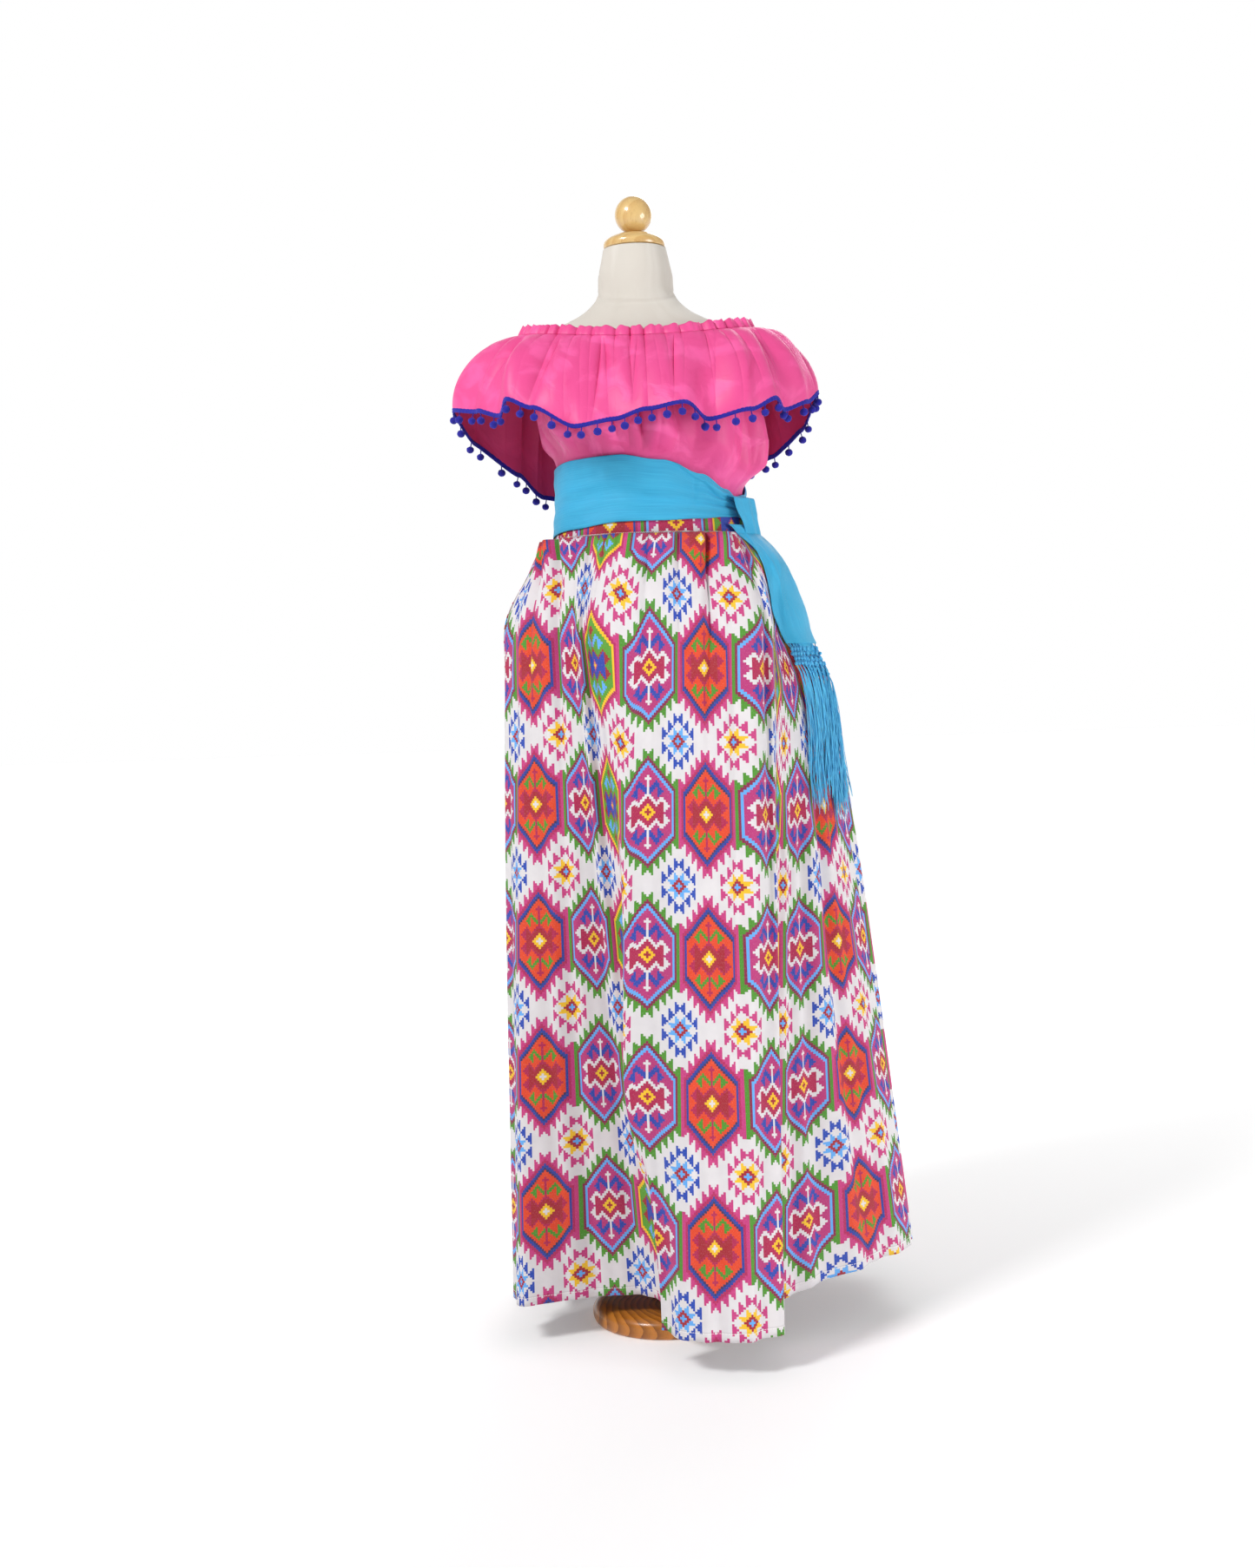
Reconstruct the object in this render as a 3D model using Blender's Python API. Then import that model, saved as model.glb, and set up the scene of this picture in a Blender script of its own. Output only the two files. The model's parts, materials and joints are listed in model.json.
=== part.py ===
"""Adelita skirt and blouse set with its sash, worn by a dress form on a turned wooden foot.

The blouse has an off-the-shoulder elastic neckline, a deep flounce and a pompom braid. The skirt
is gathered to a waistband. The sash is tied at the wearer's left side and both its ends hang.
Metres, +Z up, the front faces -Y, the origin is the centre of the foot's underside.
Angles run round the body from the front (0) to the +X side (90), the back (180) and -X (-90).
Places across the skirt are counted in columns of its print, from a column left of the front fold.
"""

import math

import bmesh
import bpy
import numpy as np

# Cloth: wall, and the gaps between panels, between gathered panels laid flat, between
# slanting rims and between layers
WALL = 0.0012
SEAM_GAP = 0.0004
GATHERED_SEAM_GAP = 0.0012
RIM_GAP = 0.0011
LAYER_GAP = 0.0006
LAYER_STEP = WALL + LAYER_GAP

# Stand and levels above the floor
FOOT_HEIGHT = 0.030
FOOT_RADIUS = 0.103
FOOT_TOP_RADIUS = 0.074
FOOT_EDGE = 0.018
FOOT_CHAMFER = (0.002, 0.010, 0.006)
POLE_RADIUS = 0.0125
POLE_FLANGE_RADIUS = 0.021
POLE_FLANGE_HEIGHT = 0.012
CONTACT = 0.0003
CAP_RADIUS = 0.0415
CAP_EDGE = 0.002
CAP_RISE = 0.021
BALL_RADIUS = 0.0250
BALL_SEAT_RADIUS = 0.009
WAIST_SEAM = 1.063
WAISTBAND_TOP = 1.093
NECKLINE_FRONT = 1.318
NECKLINE_SIDE = 1.337
NECKLINE_BACK = 1.306
BLOUSE_HEM = 1.000
ARMHOLE_BOTTOM = 1.185

# Points round the body: two for each gather, and those of the smooth layers
NECK_GATHERS = 40
SKIRT_GATHERS = 44
BODY_COLUMNS = 48
FORM_COLUMNS = 28

# Height, half width, front and back of the dress form
FORM_SECTIONS = np.array([
    # z      side    front   back
    [0.860, 0.146, 0.104, 0.112],
    [0.905, 0.153, 0.106, 0.122],
    [0.960, 0.141, 0.101, 0.112],
    [1.010, 0.122, 0.098, 0.099],
    [1.063, 0.109, 0.096, 0.090],
    [1.110, 0.104, 0.097, 0.086],
    [1.160, 0.108, 0.106, 0.086],
    [1.205, 0.120, 0.116, 0.088],
    [1.245, 0.135, 0.110, 0.090],
    [1.275, 0.148, 0.100, 0.090],
    [1.300, 0.152, 0.088, 0.086],
    [1.318, 0.146, 0.077, 0.080],
    [1.334, 0.131, 0.066, 0.071],
    [1.348, 0.106, 0.057, 0.062],
    [1.361, 0.079, 0.052, 0.055],
    [1.378, 0.058, 0.049, 0.051],
    [1.415, 0.050, 0.047, 0.048],
    [1.450, 0.0425, 0.042, 0.042],
])
NECK_TOP = FORM_SECTIONS[-1, 0]
TORSO_BOTTOM = FORM_SECTIONS[0, 0]

# Innermost layer of cloth where the sash and the waistband draw it in
WAIST_SECTIONS = np.array([
    # z      left    right   front   back
    [1.000, 0.1300, 0.1500, 0.1120, 0.1120],
    [1.063, 0.1180, 0.1370, 0.0973, 0.0913],
    [1.110, 0.1130, 0.1330, 0.0985, 0.0900],
    [1.170, 0.1135, 0.1400, 0.1140, 0.0960],
])

# Loose body of the blouse between the sash and the neckline
BLOUSE_SECTIONS = np.array([
    # z      left    right   front   back
    [1.110, 0.1150, 0.1400, 0.1160, 0.0970],
    [1.140, 0.1170, 0.1600, 0.1220, 0.1010],
    [1.170, 0.1230, 0.1680, 0.1290, 0.1050],
    [1.205, 0.1360, 0.1700, 0.1330, 0.1080],
    [1.250, 0.1480, 0.1640, 0.1290, 0.1080],
    [1.290, 0.1570, 0.1580, 0.1150, 0.1040],
])
BLOUSE_SPRING = 0.040
BLOUSE_FOLD = 0.0045
BLOUSE_FOLDS = 12
NECKLINE_REACH = (0.157, 0.156, 0.100, 0.102)
BODY_BEHIND_CASING = 0.0060
JOINING_LEVEL = 1.262
ARMHOLE_NARROWING = 28.0
BLOUSE_ROWS = (1.0, 0.86, 0.66, 0.44, 0.25, 0.11)
SLACK_POWER = 6
UNEVEN_SHARE = 0.35
UNEVEN_WAVES = (5, 11)
UNEVEN_SHIFT = 0.7

# Lines down the skirt, from the waistband to the hem. Width is counted in columns of the print.
COLUMN_WIDTH = 0.0845
COLUMNS_ROUND = 24.0
SKIRT_LINES = np.array([
    # width  waist   hip     hem x    hem y    hem z
    [-1.30, -111.0, -84.0, -0.1960, -0.0350, 0.054],
    [-0.50, -92.0, -68.0, -0.1970, -0.1040, 0.053],
    [0.00, -78.0, -57.0, -0.1580, -0.0900, 0.053],
    [1.00, -48.0, -38.0, -0.0750, -0.0740, 0.055],
    [1.55, -32.0, -31.0, -0.0280, -0.0820, 0.056],
    [2.10, -18.0, -24.0, -0.0080, -0.1200, 0.054],
    [3.00, 6.0, -10.5, -0.0130, -0.2000, 0.048],
    [3.50, 17.0, -1.0, 0.0180, -0.2370, 0.047],
    [4.00, 28.0, 8.0, 0.0570, -0.2500, 0.047],
    [4.50, 40.0, 16.5, 0.0960, -0.2500, 0.047],
    [5.00, 52.0, 23.5, 0.1300, -0.2330, 0.048],
    [5.50, 61.0, 27.0, 0.1350, -0.1950, 0.050],
    [6.10, 69.0, 31.0, 0.1270, -0.1460, 0.055],
    [6.60, 75.0, 34.0, 0.1530, -0.1160, 0.057],
    [7.00, 80.0, 37.0, 0.1860, -0.1020, 0.058],
    [8.00, 91.0, 50.0, 0.2620, -0.0560, 0.073],
    [9.00, 102.0, 66.0, 0.3230, -0.0030, 0.084],
    [9.70, 110.0, 78.0, 0.3400, 0.0540, 0.084],
    [10.50, 119.0, 90.0, 0.3150, 0.1120, 0.078],
    [11.40, 129.0, 102.0, 0.3160, 0.1860, 0.074],
    [12.30, 139.0, 114.0, 0.2480, 0.2160, 0.068],
    [13.20, 149.0, 127.0, 0.2080, 0.2750, 0.064],
    [14.10, 159.0, 141.0, 0.1340, 0.2560, 0.060],
    [15.00, 169.0, 155.0, 0.0790, 0.3040, 0.058],
    [15.90, 179.0, 169.0, 0.0160, 0.2570, 0.056],
    [16.80, 188.0, 183.0, -0.0560, 0.2880, 0.055],
    [17.70, 198.0, 197.0, -0.0900, 0.2240, 0.054],
    [18.60, 207.0, 211.0, -0.1580, 0.2250, 0.054],
    [19.50, 216.0, 224.0, -0.1540, 0.1560, 0.053],
    [20.40, 225.0, 239.0, -0.2020, 0.1080, 0.053],
    [21.50, 237.0, 256.0, -0.1680, 0.0400, 0.054],
])
WAIST_COLUMN, HIP_COLUMN, HEM_X, HEM_Y, HEM_Z = 1, 2, 3, 4, 5
SIDE_SEAMS = (-1.5, 10.5)
HIP_REACH = (0.190, 0.240, 0.165, 0.172)
HIP_LEVEL = 0.130
FLARE_POWER = 0.85
SKIRT_SHARES = (0.0, 0.014, 0.045, 0.09, 0.16, 0.27, 0.41, 0.58, 0.78, 1.0)
GATHER_DEPTH = 0.0034
GATHER_FADE = 0.110
SKIRT_CLEARANCE = 0.0010

# Hem of the flounce round the body: its reach and height at each crest and hollow of its flutes
FLOUNCE_HEM = np.array([
    # angle   reach   height
    [-172.0, 0.168, 1.136],
    [-152.0, 0.158, 1.126],
    [-134.0, 0.190, 1.138],
    [-118.0, 0.192, 1.166],
    [-103.0, 0.232, 1.206],
    [-88.0, 0.250, 1.243],
    [-74.0, 0.222, 1.234],
    [-62.0, 0.206, 1.222],
    [-53.0, 0.214, 1.238],
    [-44.0, 0.200, 1.224],
    [-27.0, 0.182, 1.196],
    [-12.0, 0.164, 1.204],
    [3.0, 0.172, 1.214],
    [17.0, 0.186, 1.220],
    [30.0, 0.170, 1.202],
    [45.0, 0.198, 1.214],
    [56.0, 0.210, 1.230],
    [66.0, 0.204, 1.220],
    [77.0, 0.226, 1.234],
    [88.0, 0.239, 1.252],
    [102.0, 0.226, 1.210],
    [116.0, 0.204, 1.180],
    [130.0, 0.190, 1.168],
    [146.0, 0.166, 1.152],
    [163.0, 0.176, 1.146],
])
FLOUNCE_SHARES = (0.0, 0.06, 0.17, 0.34, 0.56, 0.79, 1.0)
FLOUNCE_LIFT = 0.012
FLOUNCE_SWELL = 1.28
FLOUNCE_GATHER = 0.0030
FLOUNCE_FADE = 0.16
FLOUNCE_LIFT_IN_FRONT = 0.35
FLOUNCE_LIFT_POWER = 0.8
CASING_HEIGHT = 0.012
CASING_PINCH = 0.0012

# Braid and pompoms on the flounce's hem
BRAID_WIDTH = 0.005
BRAID_WALL = 0.0016
BRAID_GAP = 0.0016
POMPOMS_PER_PANEL = 31
POMPOM_SECTIONS = np.array([
    # drop    half width
    [0.0040, 0.0010],
    [0.0095, 0.0050],
    [0.0145, 0.0014],
])
POMPOM_LEAN = 0.0012
BRAID_LOOK_BACK = 0.9

# Sash round the waist: it narrows to the knot
SASH_EDGES = np.array([
    # angle   bottom  top
    [-180.0, 1.076, 1.160],
    [-95.0, 1.067, 1.156],
    [-50.0, 1.073, 1.163],
    [-15.0, 1.079, 1.164],
    [10.0, 1.079, 1.156],
    [32.0, 1.081, 1.138],
    [50.0, 1.084, 1.120],
    [62.0, 1.085, 1.112],
    [78.0, 1.082, 1.116],
    [105.0, 1.078, 1.138],
    [140.0, 1.078, 1.158],
])
SASH_ROWS = 4
KNOT_ANGLE = 66.0
KNOT_HEIGHT = 1.093
KNOT_DEPTH = 0.0060
KNOT_WIDTH = 0.0160
KNOT_RISE = 0.0110

# Tails of the sash on the skirt: each row crosses a tail between two lines of the skirt
TAIL_FRONT = np.array([
    # z      first   last    out
    [1.1110, 5.15, 6.90, 0.0040],
    [1.1085, 5.15, 7.10, 0.0146],
    [1.0760, 5.60, 7.60, 0.0150],
    [1.0400, 6.30, 8.20, 0.0150],
    [1.0150, 6.70, 8.50, 0.0120],
    [0.9850, 7.05, 8.65, 0.0100],
    [0.9550, 7.35, 8.65, 0.0100],
    [0.9150, 7.60, 8.55, 0.0100],
])
TAIL_BACK = np.array([
    # z      first   last    out
    [1.0740, 4.90, 6.20, 0.0060],
    [1.0440, 6.00, 7.30, 0.0062],
    [1.0150, 6.50, 7.90, 0.0056],
    [0.9850, 6.90, 8.30, 0.0052],
    [0.9550, 7.60, 8.90, 0.0050],
    [0.9000, 8.20, 9.30, 0.0050],
])
TAIL_COLUMNS = 4
FRINGE_NET = 0.026
FRINGE_NET_TAPER = 0.10
FRINGE_LENGTH = 0.185
FRINGE_UNEVEN = 0.10
FRINGE_SWAY = 0.0015
FRINGE_WAVES = (2.3, 1.7)
FRINGE_STRANDS = 22
STRAND_RADIUS = 0.0008


def clear_scene():
    """Remove every object that is already in the scene."""
    for old in list(bpy.data.objects):
        bpy.data.objects.remove(old)


def finish(name, colour, roughness, metallic=0.0):
    """One plain material."""
    made = bpy.data.materials.new(name)
    made.use_nodes = True
    shader = made.node_tree.nodes["Principled BSDF"]
    shader.inputs["Base Color"].default_value = (*colour, 1.0)
    shader.inputs["Roughness"].default_value = roughness
    shader.inputs["Metallic"].default_value = metallic
    return made


def piece_of(mesh, name, material):
    """Turn a finished bmesh into a named object with its material."""
    data = bpy.data.meshes.new(name)
    mesh.to_mesh(data)
    mesh.free()
    data.materials.append(material)
    data.shade_smooth()
    piece = bpy.data.objects.new(name, data)
    bpy.context.collection.objects.link(piece)
    return piece


def eased(place, places, values):
    """Values between the rows of a table, level at each row."""
    index = int(np.clip(np.searchsorted(places, place, side="right") - 1, 0, len(places) - 2))
    share = np.clip((place - places[index]) / (places[index + 1] - places[index]), 0.0, 1.0)
    share = share * share * (3.0 - 2.0 * share)
    return float(values[index] * (1.0 - share) + values[index + 1] * share)


def curved(place, places, values):
    """Values between the rows of a table, on a smooth curve through the rows."""
    slope = np.gradient(values, places)
    index = int(np.clip(np.searchsorted(places, place, side="right") - 1, 0, len(places) - 2))
    width = places[index + 1] - places[index]
    t = np.clip((place - places[index]) / width, 0.0, 1.0)
    return float(
        (2 * t**3 - 3 * t**2 + 1) * values[index]
        + (t**3 - 2 * t**2 + t) * width * slope[index]
        + (3 * t**2 - 2 * t**3) * values[index + 1]
        + (t**3 - t**2) * width * slope[index + 1]
    )


def round_body(table, column, angle):
    """A column of a table whose first column is an angle, level at each of its rows."""
    angles = np.append(table[:, 0], table[0, 0] + 360.0)
    values = np.append(table[:, column], table[0, column])
    return eased((angle - table[0, 0]) % 360.0 + table[0, 0], angles, values)


def round_skirt(column, width):
    """A column of the table of skirt lines, on a smooth curve that closes round the skirt."""
    extra = 3
    rise = 360.0 if column in (WAIST_COLUMN, HIP_COLUMN) else 0.0
    places, values = SKIRT_LINES[:, 0], SKIRT_LINES[:, column]
    before, after = places[-extra:] - COLUMNS_ROUND, places[:extra] + COLUMNS_ROUND
    places = np.concatenate([before, places, after])
    values = np.concatenate([values[-extra:] - rise, values, values[:extra] + rise])
    turns = math.floor((width - SKIRT_LINES[0, 0]) / COLUMNS_ROUND)
    return curved(width - turns * COLUMNS_ROUND, places, values) + rise * turns


def oval(angle, left, right, front, back):
    """A point on an oval with its own reach on each of its four sides."""
    across, along = math.sin(math.radians(angle)), -math.cos(math.radians(angle))
    return np.array([across * (right if across > 0 else left), along * (back if along > 0 else front)])


def outward(angle):
    """The horizontal direction away from the body at an angle."""
    return np.array([math.sin(math.radians(angle)), -math.cos(math.radians(angle))])


def sections(table, z):
    """The reaches in a table of sections at a height, straight between its rows."""
    return [float(np.interp(z, table[:, 0], table[:, k])) for k in range(1, table.shape[1])]


def at_waist(angle, z, layer):
    """A point of the layers drawn in round the waist, the blouse being layer 0."""
    return oval(angle, *[reach + layer * LAYER_STEP for reach in sections(WAIST_SECTIONS, z)])


def sash_edge(column, angle):
    """Height of the sash's bottom edge (1) or top edge (2) at an angle."""
    return round_body(SASH_EDGES, column, angle)


def blouse_point(angle, z, fold=0.0):
    """A point on the blouse's body. The sash draws it in, and above the sash it springs out."""
    snug = at_waist(angle, z, 0)
    rise = np.clip((z - sash_edge(2, angle) - RIM_GAP) / BLOUSE_SPRING, 0.0, 1.0)
    share = rise * rise * (3.0 - 2.0 * rise)
    reach = [curved(z, BLOUSE_SECTIONS[:, 0], BLOUSE_SECTIONS[:, k]) for k in (1, 2, 3, 4)]
    loose = oval(angle, *reach) + outward(angle) * fold
    return snug * (1.0 - share) + loose * share


def neckline_height(angle):
    """Height of the elastic neckline at an angle."""
    front = math.cos(math.radians(angle))
    level = NECKLINE_FRONT if front > 0 else NECKLINE_BACK
    return NECKLINE_SIDE + (level - NECKLINE_SIDE) * front * front


def neckline_point(angle, away=0.0):
    """A point on the neckline, which stands off the chest, the shoulders and the back."""
    return oval(angle, *[reach + away for reach in NECKLINE_REACH])


def uneven(angle):
    """How large the gathers are near an angle, about 1."""
    turn = math.radians(angle)
    slow, quick = UNEVEN_WAVES
    return 1.0 + UNEVEN_SHARE * math.sin(slow * turn + UNEVEN_SHIFT) * math.sin(quick * turn)


def neck_gather(angle):
    """Gathers round the neckline: one crest and one hollow to each gather."""
    return math.cos(NECK_GATHERS * math.radians(angle)) * uneven(angle)


def cloth(name, rows, material, closed):
    """A wall of cloth from rows of points that run round the body from -X over the front to +X."""
    mesh = bmesh.new()
    placed = [[mesh.verts.new(point) for point in row] for row in rows]
    columns = len(rows[0])
    for upper, lower in zip(placed, placed[1:]):
        for k in range(columns if closed else columns - 1):
            after = (k + 1) % columns
            mesh.faces.new((upper[k], lower[k], lower[after], upper[after]))
    piece = piece_of(mesh, name, material)
    thicken = piece.modifiers.new("Wall", "SOLIDIFY")
    thicken.thickness = WALL
    thicken.offset = 0.0
    thicken.use_even_offset = True


def panel_angles(first, columns):
    """Angles of a half panel's columns from one side to the other, each end half a seam short."""
    short = math.degrees(SEAM_GAP / 2 / NECKLINE_REACH[0])
    return np.linspace(first + short, first + 180.0 - short, columns + 1)


def turned(name, profile, material, steps):
    """A solid turned about the vertical axis, from its profile, top to bottom at +X."""
    mesh = bmesh.new()
    line = [mesh.verts.new((radius, 0.0, z)) for radius, z in profile]
    edges = [mesh.edges.new(pair) for pair in zip(line, line[1:])]
    bmesh.ops.spin(
        mesh,
        geom=line + edges,
        cent=(0, 0, 0),
        axis=(0, 0, 1),
        angle=2 * math.pi,
        steps=steps,
        use_merge=True,
    )
    bmesh.ops.remove_doubles(mesh, verts=mesh.verts, dist=1e-6)
    bmesh.ops.recalc_face_normals(mesh, faces=mesh.faces)
    piece = piece_of(mesh, name, material)
    piece.data.set_sharp_from_angle(angle=math.radians(40))


def dress_form(jersey):
    """The limbless torso and neck, one smooth closed solid."""
    mesh = bmesh.new()
    placed = []
    for z in FORM_SECTIONS[:, 0]:
        side, front, back = sections(FORM_SECTIONS, z)
        angles = np.linspace(-180.0, 180.0, FORM_COLUMNS, endpoint=False)
        placed.append([mesh.verts.new((*oval(angle, side, side, front, back), z)) for angle in angles])
    for lower, upper in zip(placed, placed[1:]):
        for k in range(FORM_COLUMNS):
            after = (k + 1) % FORM_COLUMNS
            mesh.faces.new((lower[k], lower[after], upper[after], upper[k]))
    mesh.faces.new(list(reversed(placed[0])))
    mesh.faces.new(placed[-1])
    piece_of(mesh, "dress_form", jersey)


def neck_top_pieces(wood):
    """The cap on the neck and the ball on the cap."""
    bottom = NECK_TOP + CONTACT
    dome = [(0.0, bottom + CAP_RISE)]
    for degrees in (20, 40, 60, 78):
        turn = math.radians(degrees)
        z = bottom + CAP_EDGE + (CAP_RISE - CAP_EDGE) * math.cos(turn)
        dome.append((CAP_RADIUS * math.sin(turn), z))
    dome += [(CAP_RADIUS, bottom + CAP_EDGE), (CAP_RADIUS - CAP_EDGE / 2, bottom), (0.0, bottom)]
    turned("neck_cap", dome, wood, steps=24)
    seat = bottom + CAP_RISE + CONTACT
    centre = seat + math.sqrt(BALL_RADIUS**2 - BALL_SEAT_RADIUS**2)
    sphere = [(0.0, centre + BALL_RADIUS)]
    for degrees in range(22, 155, 22):
        turn = math.radians(degrees)
        sphere.append((BALL_RADIUS * math.sin(turn), centre + BALL_RADIUS * math.cos(turn)))
    sphere += [(BALL_SEAT_RADIUS, seat), (0.0, seat)]
    turned("ball_finial", sphere, wood, steps=20)


def stand(wood, steel):
    """The pole under the torso and the round foot."""
    bottom = FOOT_HEIGHT + CONTACT
    top = TORSO_BOTTOM - CONTACT
    flange = bottom + POLE_FLANGE_HEIGHT
    profile = [(0.0, top), (POLE_RADIUS, top), (POLE_RADIUS, flange)]
    profile += [(POLE_FLANGE_RADIUS, flange), (POLE_FLANGE_RADIUS, bottom), (0.0, bottom)]
    turned("pole", profile, steel, steps=20)
    rounding = FOOT_RADIUS - FOOT_TOP_RADIUS
    profile = [(0.0, FOOT_HEIGHT), (FOOT_TOP_RADIUS, FOOT_HEIGHT)]
    for degrees in (28, 58):
        turn = math.radians(degrees)
        across = FOOT_TOP_RADIUS + rounding * math.sin(turn)
        profile.append((across, FOOT_EDGE + (FOOT_HEIGHT - FOOT_EDGE) * math.cos(turn)))
    slight, deep, low = FOOT_CHAMFER
    profile += [(FOOT_RADIUS, FOOT_EDGE), (FOOT_RADIUS - slight, low)]
    profile += [(FOOT_RADIUS - deep, 0.0), (0.0, 0.0)]
    turned("foot", profile, wood, steps=36)


def blouse_levels(angle):
    """Heights of the blouse's rows at an angle, from the neckline to the hem inside the skirt."""
    top = neckline_height(angle) - RIM_GAP
    drawn_in = sash_edge(2, angle) + RIM_GAP
    loose = [drawn_in + (top - drawn_in) * share for share in BLOUSE_ROWS]
    tucked_in = min(WAIST_SECTIONS[2, 0], drawn_in - WALL)
    return loose + [drawn_in, tucked_in, WAIST_SECTIONS[1, 0], BLOUSE_HEM]


def blouse_body(pink):
    """Front and back of the blouse: gathered at the neckline, open at the armholes, tucked in below."""
    seam = math.degrees(SEAM_GAP / 2 / WAIST_SECTIONS[1, 1])
    for name, middle in (("blouse_front", 0.0), ("blouse_back", 180.0)):
        rows = []
        for level in range(len(blouse_levels(0.0))):
            row = []
            for across in np.linspace(-1.0, 1.0, BODY_COLUMNS // 2 + 1):
                side = middle + across * (90.0 - seam)
                z = blouse_levels(side)[level]
                cut_back = np.clip((z - ARMHOLE_BOTTOM) / (NECKLINE_FRONT - ARMHOLE_BOTTOM), 0.0, 1.0)
                angle = middle + across * (90.0 - seam - ARMHOLE_NARROWING * math.sqrt(cut_back))
                z = blouse_levels(angle)[level] if cut_back > 0.0 else z
                slack = 1.0 - abs(across) ** SLACK_POWER
                fold = math.sin(BLOUSE_FOLDS * math.radians(angle)) * uneven(angle)
                fold *= BLOUSE_FOLD * slack
                joined = (z - JOINING_LEVEL) / (neckline_height(angle) - JOINING_LEVEL)
                joined = np.clip(joined, 0.0, 1.0)
                joined = joined * joined * (3.0 - 2.0 * joined)
                body = blouse_point(angle, z, fold) * (1.0 - joined)
                row.append((*(body + neckline_point(angle, -BODY_BEHIND_CASING) * joined), z))
            rows.append(row)
        cloth(name, rows, pink, closed=False)


def flounce_point(angle, share):
    """A point of the flounce, from the neckline (0) over the shoulder to its fluted hem (1)."""
    reach, low = round_body(FLOUNCE_HEM, 1, angle), round_body(FLOUNCE_HEM, 2, angle)
    high = neckline_height(angle) - RIM_GAP
    out = 1.0 - (1.0 - share) ** FLOUNCE_SWELL
    flat = neckline_point(angle) * (1.0 - out) + outward(angle) * reach * out
    at_side = abs(math.sin(math.radians(angle)))
    over_shoulder = FLOUNCE_LIFT_IN_FRONT + (1.0 - FLOUNCE_LIFT_IN_FRONT) * at_side
    lift = FLOUNCE_LIFT * math.sin(math.pi * share**FLOUNCE_LIFT_POWER) * over_shoulder
    z = high + (low - high) * share + lift
    fade = math.exp(-share / FLOUNCE_FADE)
    return np.array([*(flat + outward(angle) * FLOUNCE_GATHER * neck_gather(angle) * fade), z])


def blouse_trim(pink):
    """The gathered casing that holds the neck elastic, and the front and back of the flounce."""
    columns = NECK_GATHERS * 2
    rows = []
    for share in (1.0, 0.5, 0.0):
        row = []
        for angle in np.linspace(-180.0, 180.0, columns, endpoint=False):
            swell = FLOUNCE_GATHER * neck_gather(angle) - CASING_PINCH * math.sin(math.pi * share)
            flat = neckline_point(angle) + outward(angle) * swell
            row.append((*flat, neckline_height(angle) + CASING_HEIGHT * share))
        rows.append(row)
    cloth("neck_casing", rows, pink, closed=True)
    for name, first in (("flounce_front", -90.0), ("flounce_back", 90.0)):
        angles = panel_angles(first, columns // 2)
        rows = [[flounce_point(angle, share) for angle in angles] for share in FLOUNCE_SHARES]
        cloth(name, rows, pink, closed=False)


def strip(mesh, sections_of_strip):
    """Skin a closed four-sided strip and return its faces on the lower edge."""
    rings = [[mesh.verts.new(point) for point in section] for section in sections_of_strip]
    lower_faces = []
    for before, after in zip(rings, rings[1:]):
        for k in range(4):
            following = (k + 1) % 4
            face = mesh.faces.new((before[k], before[following], after[following], after[k]))
            if k == 1:
                lower_faces.append(face)
    mesh.faces.new(list(reversed(rings[0])))
    mesh.faces.new(rings[-1])
    return lower_faces


def draw_out(mesh, face, places):
    """Draw a four-sided strand out of a face, through rows of a centre and a half width."""
    for centre, half in places:
        face = bmesh.ops.extrude_discrete_faces(mesh, faces=[face])["faces"][0]
        middle = np.array(face.calc_center_median())
        for corner in face.verts:
            away = np.array(corner.co) - middle
            away[2] = 0.0
            corner.co = centre + away / np.linalg.norm(away) * half


def pompom_trim(yarn):
    """Braid along the flounce's hem, with pompoms on stems that are drawn out of its edge."""
    for name, first in (("pompom_braid_front", -90.0), ("pompom_braid_back", 90.0)):
        mesh = bmesh.new()
        ring = []
        for angle in panel_angles(first, POMPOMS_PER_PANEL * 2):
            edge, above = flounce_point(angle, 1.0), flounce_point(angle, BRAID_LOOK_BACK)
            down = (edge - above) / np.linalg.norm(edge - above)
            top = edge + down * BRAID_GAP
            low = top + down * BRAID_WIDTH
            half = np.array([*outward(angle), 0.0]) * BRAID_WALL / 2
            ring.append((top + half, low + half, low - half, top - half))
        for count, face in enumerate(strip(mesh, ring)[::2]):
            centre = np.array(face.calc_center_median())
            lean = np.array([*centre[:2], 0.0]) / np.linalg.norm(centre[:2])
            lean *= POMPOM_LEAN * (count % 3)
            places = [
                (centre + lean * drop / POMPOM_SECTIONS[0, 0] - np.array([0.0, 0.0, drop]), half)
                for drop, half in POMPOM_SECTIONS
            ]
            draw_out(mesh, face, places)
        bmesh.ops.recalc_face_normals(mesh, faces=mesh.faces)
        piece_of(mesh, name, yarn)


def skirt_point(width, share, gather=0.0, away=0.0):
    """A point of the skirt on one of its lines, from the waistband (0) to the hem (1)."""
    waist_angle, hip_angle = round_skirt(WAIST_COLUMN, width), round_skirt(HIP_COLUMN, width)
    waist = at_waist(waist_angle, WAIST_SEAM, 1) + outward(waist_angle) * (SKIRT_CLEARANCE + away)
    hip = oval(hip_angle, *HIP_REACH) + outward(hip_angle) * away
    hem = np.array([round_skirt(HEM_X, width), round_skirt(HEM_Y, width)])
    hem = hem + outward(hip_angle) * away
    z = WAIST_SEAM + (round_skirt(HEM_Z, width) - WAIST_SEAM) * share
    if share < HIP_LEVEL:
        out = math.sin(math.pi / 2 * share / HIP_LEVEL)
        flat = waist * (1.0 - out) + hip * out
    else:
        out = ((share - HIP_LEVEL) / (1.0 - HIP_LEVEL)) ** FLARE_POWER
        flat = hip * (1.0 - out) + hem * out
    return np.array([*(flat + outward(hip_angle) * gather * math.exp(-share / GATHER_FADE)), z])


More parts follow.
